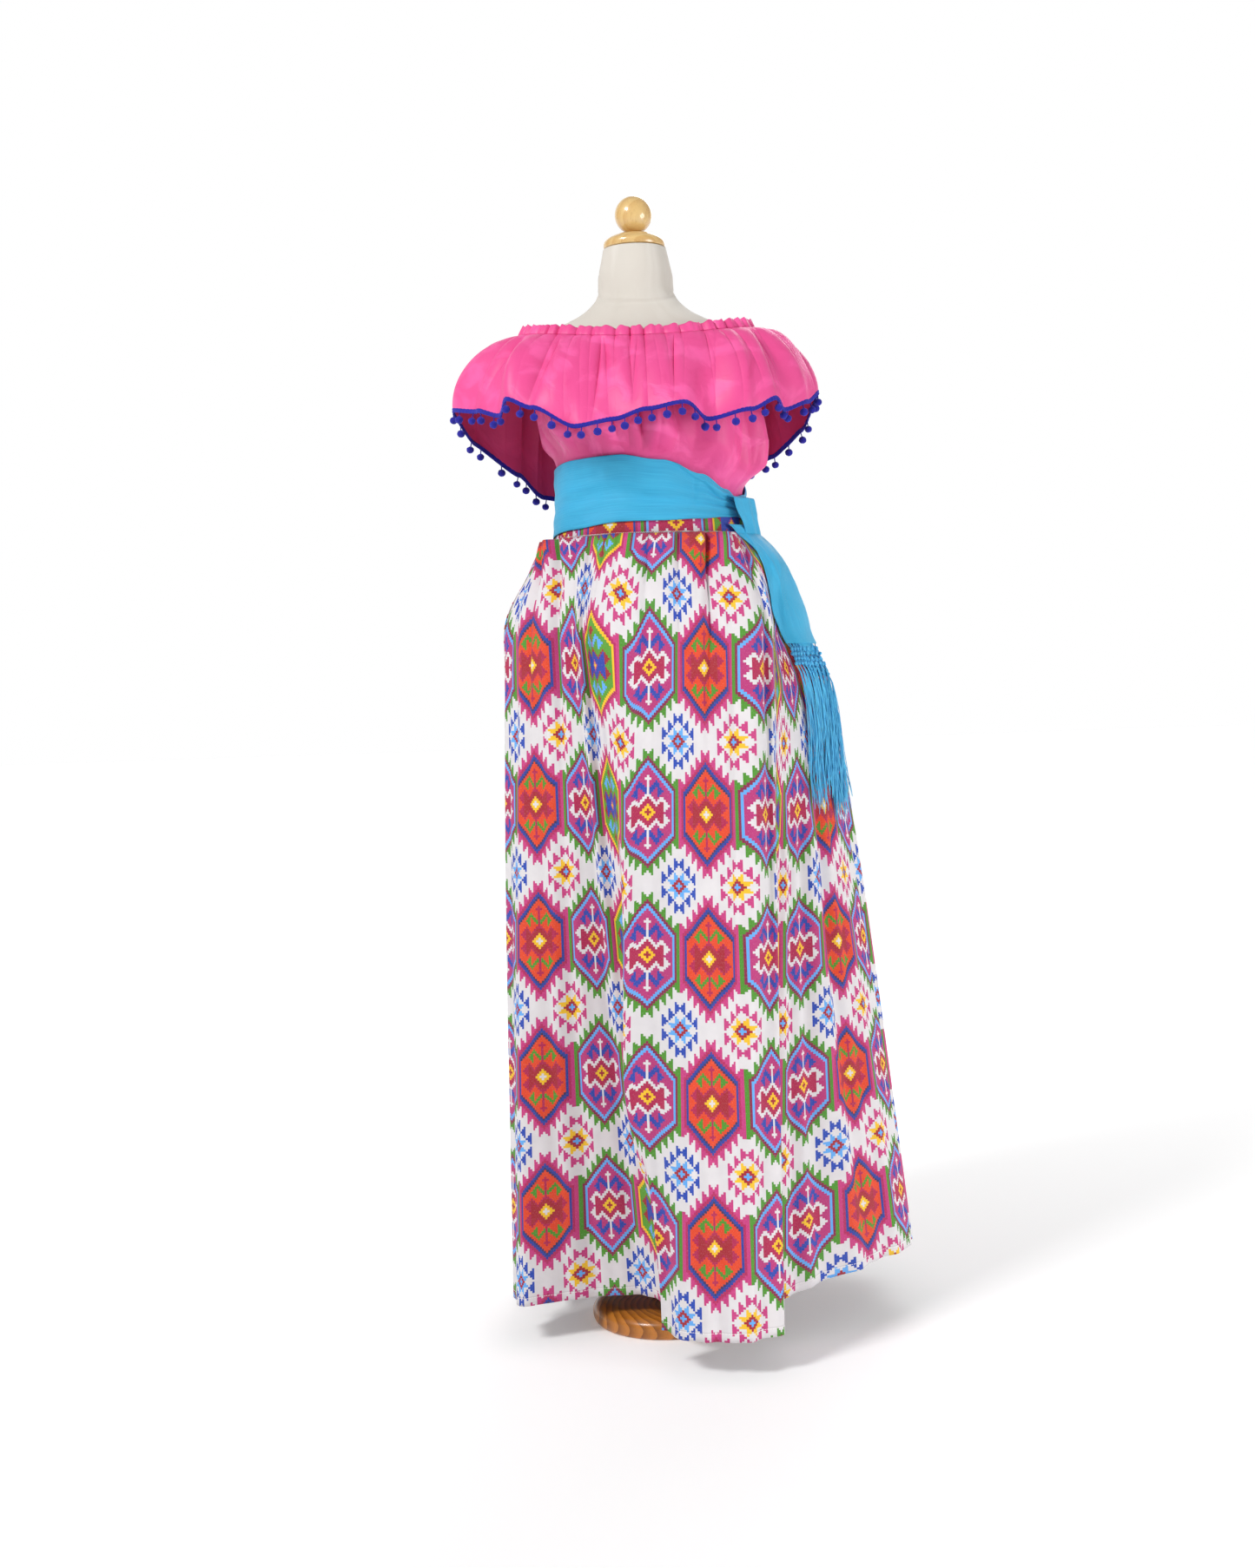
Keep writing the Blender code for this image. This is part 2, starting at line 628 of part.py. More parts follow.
def skirt(print_cloth):
    """Waistband, and the front and back panels gathered to it."""
    angles = np.linspace(-180.0, 180.0, BODY_COLUMNS, endpoint=False)
    rows = [[(*at_waist(angle, z, 1), z) for angle in angles] for z in (WAISTBAND_TOP, WAIST_SEAM)]
    cloth("waistband", rows, print_cloth, closed=True)
    short = GATHERED_SEAM_GAP / 2 / COLUMN_WIDTH
    for name, first, phase in (("skirt_front", SIDE_SEAMS[0], 0), ("skirt_back", SIDE_SEAMS[1], 1)):
        widths = np.linspace(first + short, first + COLUMNS_ROUND / 2 - short, SKIRT_GATHERS + 1)
        gathers = [2.0 * GATHER_DEPTH * ((k + phase) % 2) for k in range(len(widths))]
        gathers[0] = gathers[-1] = GATHER_DEPTH
        rows = []
        for share in SKIRT_SHARES:
            row = [skirt_point(width, share, gather) for width, gather in zip(widths, gathers)]
            rows.append([point - np.array([0.0, 0.0, RIM_GAP * (1.0 - share)]) for point in row])
        cloth(name, rows, print_cloth, closed=False)


def tail_point(width, z, away):
    """A point of a tail, off the layers at the waist above and off the skirt below."""
    if z > WAIST_SEAM:
        angle = round_skirt(WAIST_COLUMN, width)
        return np.array([*(at_waist(angle, z, 2) + outward(angle) * away), z])
    low = round_skirt(HEM_Z, width)
    share = (WAIST_SEAM - z) / (WAIST_SEAM - low)
    return skirt_point(width, share, 0.0, LAYER_STEP + away)


def tail_row(row):
    """Points across a tail at one row of its table."""
    z, first, last, away = row
    return [tail_point(width, z, away) for width in np.linspace(first, last, TAIL_COLUMNS + 1)]


def fringe(name, table, woven):
    """Knotted net under a tail, with strands that are drawn out of its edge and lie on the skirt."""
    end, first, last, away = table[-1]
    top = end - LAYER_GAP
    low = top - FRINGE_NET
    middle = (first + last) / 2
    across = tail_point(last, top, away) - tail_point(first, top, away)
    across = across / np.linalg.norm(across)
    half = np.array([across[1], -across[0], 0.0]) * WALL / 2
    widths = np.linspace(first, last, FRINGE_STRANDS * 2)
    widths_low = middle + (widths - middle) * (1.0 - FRINGE_NET_TAPER)
    ring = []
    for width, width_low in zip(widths, widths_low):
        high_point, low_point = tail_point(width, top, away), tail_point(width_low, low, away)
        ring.append((high_point + half, low_point + half, low_point - half, high_point - half))
    mesh = bmesh.new()
    for count, face in enumerate(strip(mesh, ring)[::2]):
        width = (widths_low[2 * count] + widths_low[2 * count + 1]) / 2
        wave, slow_wave = [math.sin(rate * count) for rate in FRINGE_WAVES]
        length = FRINGE_LENGTH * (1.0 - FRINGE_UNEVEN * (1.0 - wave) / 2)
        sway = across * FRINGE_SWAY * slow_wave
        places = []
        for share in (0.5, 1.0):
            centre = tail_point(width, low - length * share, away) + sway * share
            places.append((centre, STRAND_RADIUS * (1.5 - share)))
        draw_out(mesh, face, places)
    bmesh.ops.recalc_face_normals(mesh, faces=mesh.faces)
    piece_of(mesh, name, woven)


def knot(woven):
    """The lump where the sash is tied, lying on its drawn-in stretch."""
    mesh = bmesh.new()
    bmesh.ops.create_uvsphere(mesh, u_segments=12, v_segments=8, radius=1.0)
    out = outward(KNOT_ANGLE)
    along = np.array([-out[1], out[0]])
    centre = at_waist(KNOT_ANGLE, KNOT_HEIGHT, 2) + out * (WALL / 2 + CONTACT + KNOT_DEPTH)
    for corner in mesh.verts:
        flat = centre + out * corner.co.x * KNOT_DEPTH + along * corner.co.y * KNOT_WIDTH
        corner.co = (*flat, KNOT_HEIGHT + corner.co.z * KNOT_RISE)
    bmesh.ops.recalc_face_normals(mesh, faces=mesh.faces)
    piece_of(mesh, "sash_knot", woven)


def sash(woven):
    """Band round the waist, its knot, and two tails with fringes."""
    rows = []
    for share in np.linspace(0.0, 1.0, SASH_ROWS + 1):
        row = []
        for angle in np.linspace(-180.0, 180.0, BODY_COLUMNS, endpoint=False):
            z = sash_edge(2, angle) * (1.0 - share) + sash_edge(1, angle) * share
            row.append((*at_waist(angle, z, 2), z))
        rows.append(row)
    cloth("sash_band", rows, woven, closed=True)
    knot(woven)
    for name, table in (("front", TAIL_FRONT), ("back", TAIL_BACK)):
        cloth(f"sash_tail_{name}", [tail_row(row) for row in table], woven, closed=False)
        fringe(f"fringe_{name}", table, woven)


def main():
    """Build every piece."""
    clear_scene()
    pink = finish("pink_satin", (0.83, 0.10, 0.34), 0.42)
    print_cloth = finish("printed_cotton", (0.72, 0.30, 0.42), 0.80)
    woven = finish("sash_weave", (0.10, 0.52, 0.76), 0.60)
    yarn = finish("pompom_yarn", (0.03, 0.04, 0.48), 0.90)
    jersey = finish("form_jersey", (0.82, 0.79, 0.72), 0.85)
    maple = finish("varnished_maple", (0.75, 0.50, 0.20), 0.25)
    pine = finish("varnished_pine", (0.35, 0.16, 0.05), 0.35)
    steel = finish("pole_steel", (0.62, 0.62, 0.63), 0.30, 1.0)
    dress_form(jersey)
    neck_top_pieces(maple)
    stand(pine, steel)
    blouse_body(pink)
    blouse_trim(pink)
    pompom_trim(yarn)
    skirt(print_cloth)
    sash(woven)


main()
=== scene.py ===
"""Finished look of an adelita skirt and blouse set, worn by a dress form on a wooden foot.

The blouse has an elastic neckline off the shoulders, a deep flounce and a pompom braid. A woven
sash is tied at the wearer's left side over a long gathered skirt of printed cotton. Metres, +Z up,
the front faces -Y. Angles run round the body from the front (0) to +X (90) and the back (180).
Places across the skirt are counted in columns of its print.
"""

import json
import logging
import math
from dataclasses import dataclass, field
from enum import Enum
from typing import Callable, Iterable, Optional, Sequence

import bmesh
import bpy
import numpy as np
from mathutils import Matrix, Vector

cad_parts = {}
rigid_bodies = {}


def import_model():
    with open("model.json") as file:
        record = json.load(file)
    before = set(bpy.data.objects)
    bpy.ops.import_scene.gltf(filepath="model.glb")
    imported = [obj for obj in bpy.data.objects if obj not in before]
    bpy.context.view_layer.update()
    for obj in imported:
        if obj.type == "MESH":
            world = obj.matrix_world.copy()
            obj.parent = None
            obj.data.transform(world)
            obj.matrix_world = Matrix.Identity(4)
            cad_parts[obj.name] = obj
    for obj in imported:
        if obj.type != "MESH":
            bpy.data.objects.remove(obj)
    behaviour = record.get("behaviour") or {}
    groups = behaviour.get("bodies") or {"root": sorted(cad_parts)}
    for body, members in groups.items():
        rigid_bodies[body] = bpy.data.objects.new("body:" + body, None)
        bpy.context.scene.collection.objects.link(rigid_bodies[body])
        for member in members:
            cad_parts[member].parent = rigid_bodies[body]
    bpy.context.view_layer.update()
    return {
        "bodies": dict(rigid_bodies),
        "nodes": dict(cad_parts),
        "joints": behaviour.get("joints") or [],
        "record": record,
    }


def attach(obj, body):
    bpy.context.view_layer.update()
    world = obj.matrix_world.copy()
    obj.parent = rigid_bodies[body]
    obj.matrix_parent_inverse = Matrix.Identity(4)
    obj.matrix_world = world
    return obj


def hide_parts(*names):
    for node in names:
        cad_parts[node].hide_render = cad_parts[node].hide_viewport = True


log = logging.getLogger("adelita_set")

Array = np.ndarray
Shape = Callable[[Array, Array], Array]
Socket = bpy.types.NodeSocket
Node = bpy.types.Node
Tree = bpy.types.NodeTree
Material = bpy.types.Material
Piece = bpy.types.Object
Mesh = bmesh.types.BMesh

# Cloth walls and gaps
WALL = 0.0012
SEAM_GAP = 0.0004
RIM_GAP = 0.0011
LAYER_STEP = 0.0018
CONTACT = 0.0003

# Levels
WAIST_SEAM = 1.063
WAISTBAND_TOP = 1.093
NECKLINE_FRONT = 1.318
NECKLINE_SIDE = 1.337
NECKLINE_BACK = 1.306
NECKLINE_REACH = (0.157, 0.156, 0.100, 0.102)
BLOUSE_HEM = 1.000
ARMHOLE_BOTTOM = 1.185
NECK_GATHERS = 40
# Half of the seam gap at the neckline's sides, in degrees
NECK_SEAM = math.degrees(SEAM_GAP / 2 / NECKLINE_REACH[0])

# Height, half width, front and back of the dress form
FORM_SECTIONS = np.array([
    [0.860, 0.146, 0.104, 0.112],
    [0.905, 0.153, 0.106, 0.122],
    [0.960, 0.141, 0.101, 0.112],
    [1.010, 0.122, 0.098, 0.099],
    [1.063, 0.109, 0.096, 0.090],
    [1.110, 0.104, 0.097, 0.086],
    [1.160, 0.108, 0.106, 0.086],
    [1.205, 0.120, 0.116, 0.088],
    [1.245, 0.135, 0.110, 0.090],
    [1.275, 0.148, 0.100, 0.090],
    [1.300, 0.152, 0.088, 0.086],
    [1.318, 0.146, 0.077, 0.080],
    [1.334, 0.131, 0.066, 0.071],
    [1.348, 0.106, 0.057, 0.062],
    [1.361, 0.079, 0.052, 0.055],
    [1.378, 0.058, 0.049, 0.051],
    [1.415, 0.050, 0.047, 0.048],
    [1.450, 0.0425, 0.042, 0.042],
])

# Height, left, right, front and back of the innermost cloth where the sash draws it in
WAIST_SECTIONS = np.array([
    [1.000, 0.1300, 0.1500, 0.1120, 0.1120],
    [1.063, 0.1180, 0.1370, 0.0973, 0.0913],
    [1.110, 0.1130, 0.1330, 0.0985, 0.0900],
    [1.170, 0.1135, 0.1400, 0.1140, 0.0960],
])

# Height, left, right, front and back of the blouse's loose body
BLOUSE_SECTIONS = np.array([
    [1.110, 0.1150, 0.1400, 0.1160, 0.0970],
    [1.140, 0.1170, 0.1600, 0.1220, 0.1010],
    [1.170, 0.1230, 0.1680, 0.1290, 0.1050],
    [1.205, 0.1360, 0.1700, 0.1330, 0.1080],
    [1.250, 0.1480, 0.1640, 0.1290, 0.1080],
    [1.290, 0.1570, 0.1580, 0.1150, 0.1040],
])

# Print column, waist angle, hip angle and hem point of the lines down the skirt
COLUMN_WIDTH = 0.0845
COLUMNS_ROUND = 24.0
SKIRT_LINES = np.array([
    [-1.30, -111.0, -84.0, -0.1960, -0.0350, 0.054],
    [-0.50, -92.0, -66.0, -0.1970, -0.1040, 0.053],
    [0.00, -78.0, -52.0, -0.1580, -0.0900, 0.053],
    [1.00, -48.0, -30.0, -0.0710, -0.0740, 0.055],
    [1.55, -32.0, -26.5, -0.0280, -0.0820, 0.056],
    [2.10, -18.0, -21.0, -0.0080, -0.1200, 0.054],
    [2.70, -2.0, -6.0, -0.0600, -0.1880, 0.049],
    [3.00, 6.0, 0.5, -0.0300, -0.2000, 0.048],
    [3.50, 17.0, 9.0, 0.0150, -0.2370, 0.047],
    [4.00, 28.0, 17.0, 0.0560, -0.2500, 0.047],
    [4.50, 40.0, 26.0, 0.0990, -0.2500, 0.047],
    [5.00, 52.0, 38.0, 0.1360, -0.2330, 0.048],
    [5.50, 61.0, 43.0, 0.1350, -0.1950, 0.050],
    [6.10, 69.0, 46.0, 0.1270, -0.1460, 0.055],
    [6.60, 75.0, 48.6, 0.1530, -0.1160, 0.058],
    [7.00, 80.0, 52.3, 0.1860, -0.1020, 0.066],
    [8.00, 91.0, 56.2, 0.2740, -0.0480, 0.079],
    [9.00, 102.0, 61.8, 0.3330, 0.0090, 0.084],
    [9.70, 110.0, 72.5, 0.3400, 0.0540, 0.084],
    [10.50, 119.0, 90.0, 0.3150, 0.1120, 0.078],
    [11.40, 129.0, 102.0, 0.3160, 0.1860, 0.074],
    [12.30, 139.0, 114.0, 0.2480, 0.2160, 0.068],
    [13.20, 149.0, 127.0, 0.2080, 0.2750, 0.064],
    [14.10, 159.0, 141.0, 0.1340, 0.2560, 0.060],
    [15.00, 169.0, 155.0, 0.0790, 0.3040, 0.058],
    [15.90, 179.0, 169.0, 0.0160, 0.2570, 0.056],
    [16.80, 188.0, 183.0, -0.0560, 0.2880, 0.055],
    [17.70, 198.0, 197.0, -0.0900, 0.2240, 0.054],
    [18.60, 207.0, 211.0, -0.1580, 0.2250, 0.054],
    [19.50, 216.0, 224.0, -0.1540, 0.1560, 0.053],
    [20.40, 225.0, 239.0, -0.2020, 0.1080, 0.053],
    [21.50, 237.0, 256.0, -0.1680, 0.0400, 0.054],
])
SIDE_SEAMS = (-1.5, 10.5)

# Print column, and how far to the side and back the front fold's edge is turned under at the hem
FOLD_TURNED_UNDER = np.array([
    [-1.50, 0.000, 0.000],
    [2.10, 0.000, 0.000],
    [2.70, 0.087, 0.022],
    [3.00, 0.020, 0.000],
    [3.50, 0.000, 0.000],
    [22.50, 0.000, 0.000],
])
# Shares down the skirt between which it turns under
FOLD_TURN = (0.67, 1.0)

# Print column, how far down the print sits there, and how far it is drawn up at the waist and hip
PRINT_SLANT = np.array([
    [-1.5, -0.0170, 0.0190, 0.0000],
    [0.0, -0.0175, 0.0190, 0.0000],
    [1.0, -0.0190, 0.0190, 0.0000],
    [2.0, -0.0158, 0.0190, 0.0000],
    [3.0, -0.0125, 0.0185, 0.0050],
    [4.0, -0.0095, 0.0000, 0.0130],
    [5.0, -0.0050, 0.0000, 0.0160],
    [7.0, 0.0165, 0.0000, 0.0160],
    [8.0, 0.0230, 0.0000, 0.0160],
    [9.0, 0.0235, 0.0000, 0.0160],
    [10.5, 0.0235, 0.0000, 0.0160],
])
# How far down the skirt, as a share, each of the last two is felt
DRAWN_UP = (0.10, 0.25)
# Where the waistband starts on the map of edges, clear of the panels
WAIST_EDGE = 2.0

# Share down, and how much farther out the wearer's left hip is than the rounded hip line
LEFT_HIP_SLOPE = np.array([
    [0.000, 0.0000],
    [0.020, 0.0070],
    [0.040, 0.0060],
    [0.062, -0.0080],
    [0.085, -0.0220],
    [0.110, -0.0285],
    [0.135, -0.0280],
    [0.165, -0.0190],
    [0.190, -0.0105],
    [0.230, -0.0045],
    [0.400, 0.0000],
])
# Print column where that slope starts and how many columns it grows over, and so for its end
LEFT_HIP_SPAN = (4.8, 2.4, 12.5, 2.0)

# Reach of the hip line to the left, right, front and back, and its share down the skirt
HIP_REACH = (0.190, 0.240, 0.165, 0.172)
HIP_LEVEL = 0.130
FLARE_POWER = 0.85
SKIRT_CLEARANCE = 0.0010

# Angle, reach and height of the flounce's hem
FLOUNCE_HEM = np.array([
    [-172.0, 0.168, 1.136],
    [-152.0, 0.158, 1.126],
    [-134.0, 0.190, 1.138],
    [-118.0, 0.192, 1.166],
    [-103.0, 0.232, 1.206],
    [-88.0, 0.250, 1.243],
    [-74.0, 0.222, 1.234],
    [-62.0, 0.206, 1.222],
    [-53.0, 0.214, 1.238],
    [-44.0, 0.200, 1.224],
    [-27.0, 0.182, 1.196],
    [-12.0, 0.164, 1.204],
    [3.0, 0.172, 1.214],
    [17.0, 0.186, 1.220],
    [30.0, 0.170, 1.202],
    [45.0, 0.198, 1.214],
    [56.0, 0.210, 1.230],
    [66.0, 0.204, 1.220],
    [77.0, 0.226, 1.234],
    [88.0, 0.239, 1.252],
    [102.0, 0.226, 1.210],
    [116.0, 0.204, 1.180],
    [130.0, 0.190, 1.168],
    [146.0, 0.166, 1.152],
    [163.0, 0.176, 1.146],
])

# Angle, bottom edge and top edge of the sash
SASH_EDGES = np.array([
    [-180.0, 1.076, 1.160],
    [-95.0, 1.067, 1.156],
    [-50.0, 1.073, 1.163],
    [-15.0, 1.079, 1.164],
    [10.0, 1.079, 1.156],
    [32.0, 1.081, 1.138],
    [50.0, 1.084, 1.120],
    [62.0, 1.085, 1.112],
    [78.0, 1.082, 1.116],
    [105.0, 1.078, 1.138],
    [140.0, 1.078, 1.158],
])

# Height, first and last print column crossed, and distance out of each row of the sash's tails
TAIL_FRONT = np.array([
    [1.1110, 4.95, 6.60, 0.0040],
    [1.1085, 4.95, 6.75, 0.0146],
    [1.0900, 5.05, 7.00, 0.0150],
    [1.0610, 5.70, 7.80, 0.0115],
    [1.0220, 5.80, 9.00, 0.0062],
    [0.9860, 6.00, 9.90, 0.0050],
    [0.9520, 6.70, 10.20, 0.0050],
    [0.9150, 7.40, 10.00, 0.0060],
])
TAIL_BACK = np.array([
    [1.0740, 4.90, 6.20, 0.0060],
    [1.0440, 5.75, 7.00, 0.0062],
    [1.0150, 6.10, 7.60, 0.0056],
    [0.9850, 6.80, 8.40, 0.0052],
    [0.9550, 7.50, 9.20, 0.0050],
    [0.9000, 8.40, 9.80, 0.0050],
])

# Share across, side, and phase of the plait at the points round the braid's two cords
CORD_OUTLINE = (
    (0.0, 0.5, 0.0), (0.22, 1.0, 0.0), (0.5, 0.62, 0.5), (0.78, 1.0, 0.5), (1.0, 0.5, 0.5),
    (1.0, -0.5, 0.5), (0.78, -0.9, 0.5), (0.5, -0.6, 0.5), (0.22, -0.9, 0.0), (0.0, -0.5, 0.0),
)
CORD_SIDES = 5


def smooth(share: Array) -> Array:
    """Ease a share in and out.

    Args:
        share: places from 0 to 1; those outside are held at the ends.

    Returns:
        The eased share.
    """
    held = np.clip(share, 0.0, 1.0)
    return held * held * (3.0 - 2.0 * held)


def between(place: Array, start: float, grows: float, end: float, fades: float) -> Array:
    """A mask that grows over a stretch from its start and fades over one to its end."""
    return smooth((place - start) / grows) * smooth((end - place) / fades)


def rows_at(place: Array, places: Array) -> tuple[Array, Array]:
    """Find the rows of a table on either side of each place.

    Args:
        place: where to look.
        places: the rows' own places, rising.

    Returns:
        The index of the row before, and the share of the way to the next one.
    """
    index = np.clip(np.searchsorted(places, place, side="right") - 1, 0, len(places) - 2)
    share = np.clip((place - places[index]) / (places[index + 1] - places[index]), 0.0, 1.0)
    return index, share


def eased(place: Array, places: Array, values: Array) -> Array:
    """Values between the rows of a table, level at each row."""
    index, share = rows_at(place, places)
    part = smooth(share)
    return values[index] * (1.0 - part) + values[index + 1] * part


def curved(place: Array, places: Array, values: Array) -> Array:
    """Values between the rows of a table, on a smooth curve through the rows."""
    index, t = rows_at(place, places)
    slope = np.gradient(values, places)
    width = places[index + 1] - places[index]
    return (
        (2 * t**3 - 3 * t**2 + 1) * values[index]
        + (t**3 - 2 * t**2 + t) * width * slope[index]
        + (3 * t**2 - 2 * t**3) * values[index + 1]
        + (t**3 - t**2) * width * slope[index + 1]
    )


def columns_at(table: Array, place: Array, way: Callable = curved) -> list[Array]:
    """Values of a table's further columns at places in its first one."""
    return [way(place, table[:, 0], values) for values in table[:, 1:].T]


def round_body(table: Array, column: int, angle: Array) -> Array:
    """A column of a table by angle, level at each of its rows and closed round the body."""
    angles = np.append(table[:, 0], table[0, 0] + 360.0)
    values = np.append(table[:, column], table[0, column])
    return eased((angle - table[0, 0]) % 360.0 + table[0, 0], angles, values)


def sash_edge(column: int, angle: Array) -> Array:
    """Height of the sash's bottom edge (1) or top edge (2) at each angle."""
    return round_body(SASH_EDGES, column, angle)


def round_skirt(column: int, width: Array) -> Array:
    """A column of the skirt's lines at a place across it, closed round the skirt."""
    extra = 3
    rise = 360.0 if column in (1, 2) else 0.0
    places, values = SKIRT_LINES[:, 0], SKIRT_LINES[:, column]
    before, after = places[-extra:] - COLUMNS_ROUND, places[:extra] + COLUMNS_ROUND
    values = np.concatenate([values[-extra:] - rise, values, values[:extra] + rise])
    turns = np.floor((width - places[0]) / COLUMNS_ROUND)
    ringed = np.concatenate([before, places, after])
    return curved(width - turns * COLUMNS_ROUND, ringed, values) + rise * turns


def round_angle(across: Array) -> Array:
    """The angle of a closed piece's share across: from the back over -X and the front to +X."""
    return -180.0 + 360.0 * across


def outward(angle: Array) -> Array:
    """The horizontal direction away from the body at each angle."""
    turn = np.radians(angle)
    return np.stack([np.sin(turn), -np.cos(turn)], axis=-1)


def oval(angle: Array, left: Array, right: Array, front: Array, back: Array) -> Array:
    """Points on ovals that have their own reach on each of four sides."""
    across, along = np.sin(np.radians(angle)), -np.cos(np.radians(angle))
    x = across * np.where(across > 0, right, left)
    return np.stack([x, along * np.where(along > 0, back, front)], axis=-1)


def raised(flat: Array, z: Array) -> Array:
    """Join horizontal points and heights into points in space."""
    return np.concatenate([flat, np.asarray(z)[..., None]], axis=-1)


def at_waist(angle: Array, z: Array, layer: float) -> Array:
    """Points of the layers that the sash draws in, the blouse being layer 0."""
    reach = columns_at(WAIST_SECTIONS, z, np.interp)
    return oval(angle, *[side + layer * LAYER_STEP for side in reach])


def rounded(place: Array) -> Array:
    """Round ridges with narrow valleys between them, from 0 to 1, one for each whole number."""
    return np.abs(np.sin(math.pi * place)) ** 0.65


def neckline_height(angle: Array) -> Array:
    """Height of the elastic neckline at each angle."""
    front = np.cos(np.radians(angle))
    level = np.where(front > 0, NECKLINE_FRONT, NECKLINE_BACK)
    return NECKLINE_SIDE + (level - NECKLINE_SIDE) * front * front


def neckline_point(angle: Array, away: float = 0.0) -> Array:
    """Points on the neckline, which stands off the chest, the shoulders and the back."""
    return oval(angle, *[reach + away for reach in NECKLINE_REACH])


def uneven(angle: Array) -> Array:
    """How large the gathers are near each angle, about 1."""
    turn = np.radians(angle)
    return 1.0 + 0.35 * np.sin(5 * turn + 0.7) * np.sin(11 * turn)


def skirt_point(width: Array, share: Array, lift: Array, away: Array) -> Array:
    """Points of the skirt from the waistband (0) to the hem (1).

    Args:
        width: places across, in columns of the print.
        share: places down.
        lift: distance of folds and gathers out from the skirt, along the hip's direction.
        away: distance of a layer that lies on the skirt.

    Returns:
        Points in space.
    """
    waist_angle, hip_angle = round_skirt(1, width), round_skirt(2, width)
    layer = np.asarray(away)[..., None]
    waist = at_waist(waist_angle, np.full_like(width, WAIST_SEAM), 1)
    waist = waist + outward(waist_angle) * (SKIRT_CLEARANCE + layer)
    hip = oval(hip_angle, *HIP_REACH) + outward(hip_angle) * layer
    hem = np.stack([round_skirt(3, width), round_skirt(4, width)], axis=-1)
    hem = hem + outward(hip_angle) * layer
    turned_under = smooth((share - FOLD_TURN[0]) / (FOLD_TURN[1] - FOLD_TURN[0]))
    for axis, moved in enumerate(columns_at(FOLD_TURNED_UNDER, width, eased)):
        hem[..., axis] += moved * turned_under
    z = WAIST_SEAM + (round_skirt(5, width) - WAIST_SEAM) * share
    over_hip = np.sin(math.pi / 2 * np.clip(share / HIP_LEVEL, 0.0, 1.0))[..., None]
    below = np.clip((share - HIP_LEVEL) / (1.0 - HIP_LEVEL), 0.0, 1.0)[..., None] ** FLARE_POWER
    slope = columns_at(LEFT_HIP_SLOPE, share)[0] * between(width, *LEFT_HIP_SPAN)
    flat = np.where(
        share[..., None] < HIP_LEVEL,
        waist * (1.0 - over_hip) + hip * over_hip,
        hip * (1.0 - below) + hem * below,
    )
    return raised(flat + outward(hip_angle) * (np.asarray(lift) + slope)[..., None], z)


def tail_point(width: Array, z: Array, away: Array) -> Array:
    """Points of the sash's tails, off the layers at the waist above and off the skirt below."""
    angle = round_skirt(1, width)
    upper = at_waist(angle, z, 2) + outward(angle) * (np.asarray(away)[..., None] + SKIRT_CLEARANCE)
    share = np.clip((WAIST_SEAM - z) / (WAIST_SEAM - round_skirt(5, width)), 0.0, 1.0)
    lower = skirt_point(width, share, np.zeros_like(width), LAYER_STEP + away)
    return np.where((z > WAIST_SEAM)[..., None], raised(upper, z), lower)


def wander(place: Array, seeds: Sequence[float]) -> Array:
    """A slow uneven wave along a line, from -1 to 1, that doesn't repeat.

    Args:
        place: where along the line, in waves.
        seeds: one phase for each of the waves that it is the mean of.

    Returns:
        The height of the wave at each place.
    """
    waves = [np.sin(place * (1.0 + 0.37 * k) * math.tau + seed) for k, seed in enumerate(seeds)]
    return sum(waves) / len(waves)


def laid_flat(width: float, height: float, start: float = 0.0, unit: float = 1.0) -> Shape:
    """The map of a plain rectangle of cloth, which starts some way up and counts units across."""
    return lambda across, up: np.stack([across * width / unit, start + up * height], axis=-1)


def cloth_piece(
    name: str,
    segments: tuple[int, int],
    shape: Shape,
    cut: Shape,
    wall: float = WALL,
    closed: bool = False,
    inner_slot: int = 0,
    edges: Optional[Shape] = None,
) -> Piece:
    """Make one sheet of cloth with a thin wall and a flat map of its cut.

    Args:
        name: the piece's name.
        segments: how many faces it has across and up.
        shape: gives points in space for shares across (front view, left to right) and up.
        cut: gives places on the flat cloth for the same shares, kept as the UV map.
        wall: thickness of the cloth.
        closed: True for a ring, whose two ends are merged.
        inner_slot: how many material slots further on the inner face of the wall is.
        edges: gives places measured from the cloth's edge, kept as a second map, for its stitches.

    Returns:
        The finished object.
    """
    mesh = bmesh.new()
    bmesh.ops.create_grid(mesh, x_segments=segments[0], y_segments=segments[1], size=1.0)
    data = bpy.data.meshes.new(name)
    mesh.to_mesh(data)
    mesh.free()
    flat = np.empty(len(data.vertices) * 3)
    data.vertices.foreach_get("co", flat)
    across, up = (flat.reshape(-1, 3)[:, :2].T - flat.min()) / (flat.max() - flat.min())
    data.vertices.foreach_set("co", shape(across, up).ravel())
    corners = np.empty(len(data.loops), dtype=int)
    data.loops.foreach_get("vertex_index", corners)
    maps = {"Cut": cut} if edges is None else {"Cut": cut, "Edges": edges}
    for label, places in maps.items():
        layer = data.uv_layers.new(name=label)
        layer.uv.foreach_set("vector", places(across, up)[corners].ravel())
    if closed:
        mesh = bmesh.new()
        mesh.from_mesh(data)
        bmesh.ops.remove_doubles(mesh, verts=mesh.verts, dist=1e-6)
        mesh.to_mesh(data)
        mesh.free()
    data.shade_smooth()
    data.update()
    piece = bpy.data.objects.new(name, data)
    bpy.context.collection.objects.link(piece)
    thicken = piece.modifiers.new("Wall", "SOLIDIFY")
    thicken.thickness = wall
    thicken.offset = 0.0
    thicken.material_offset = inner_slot
    return piece


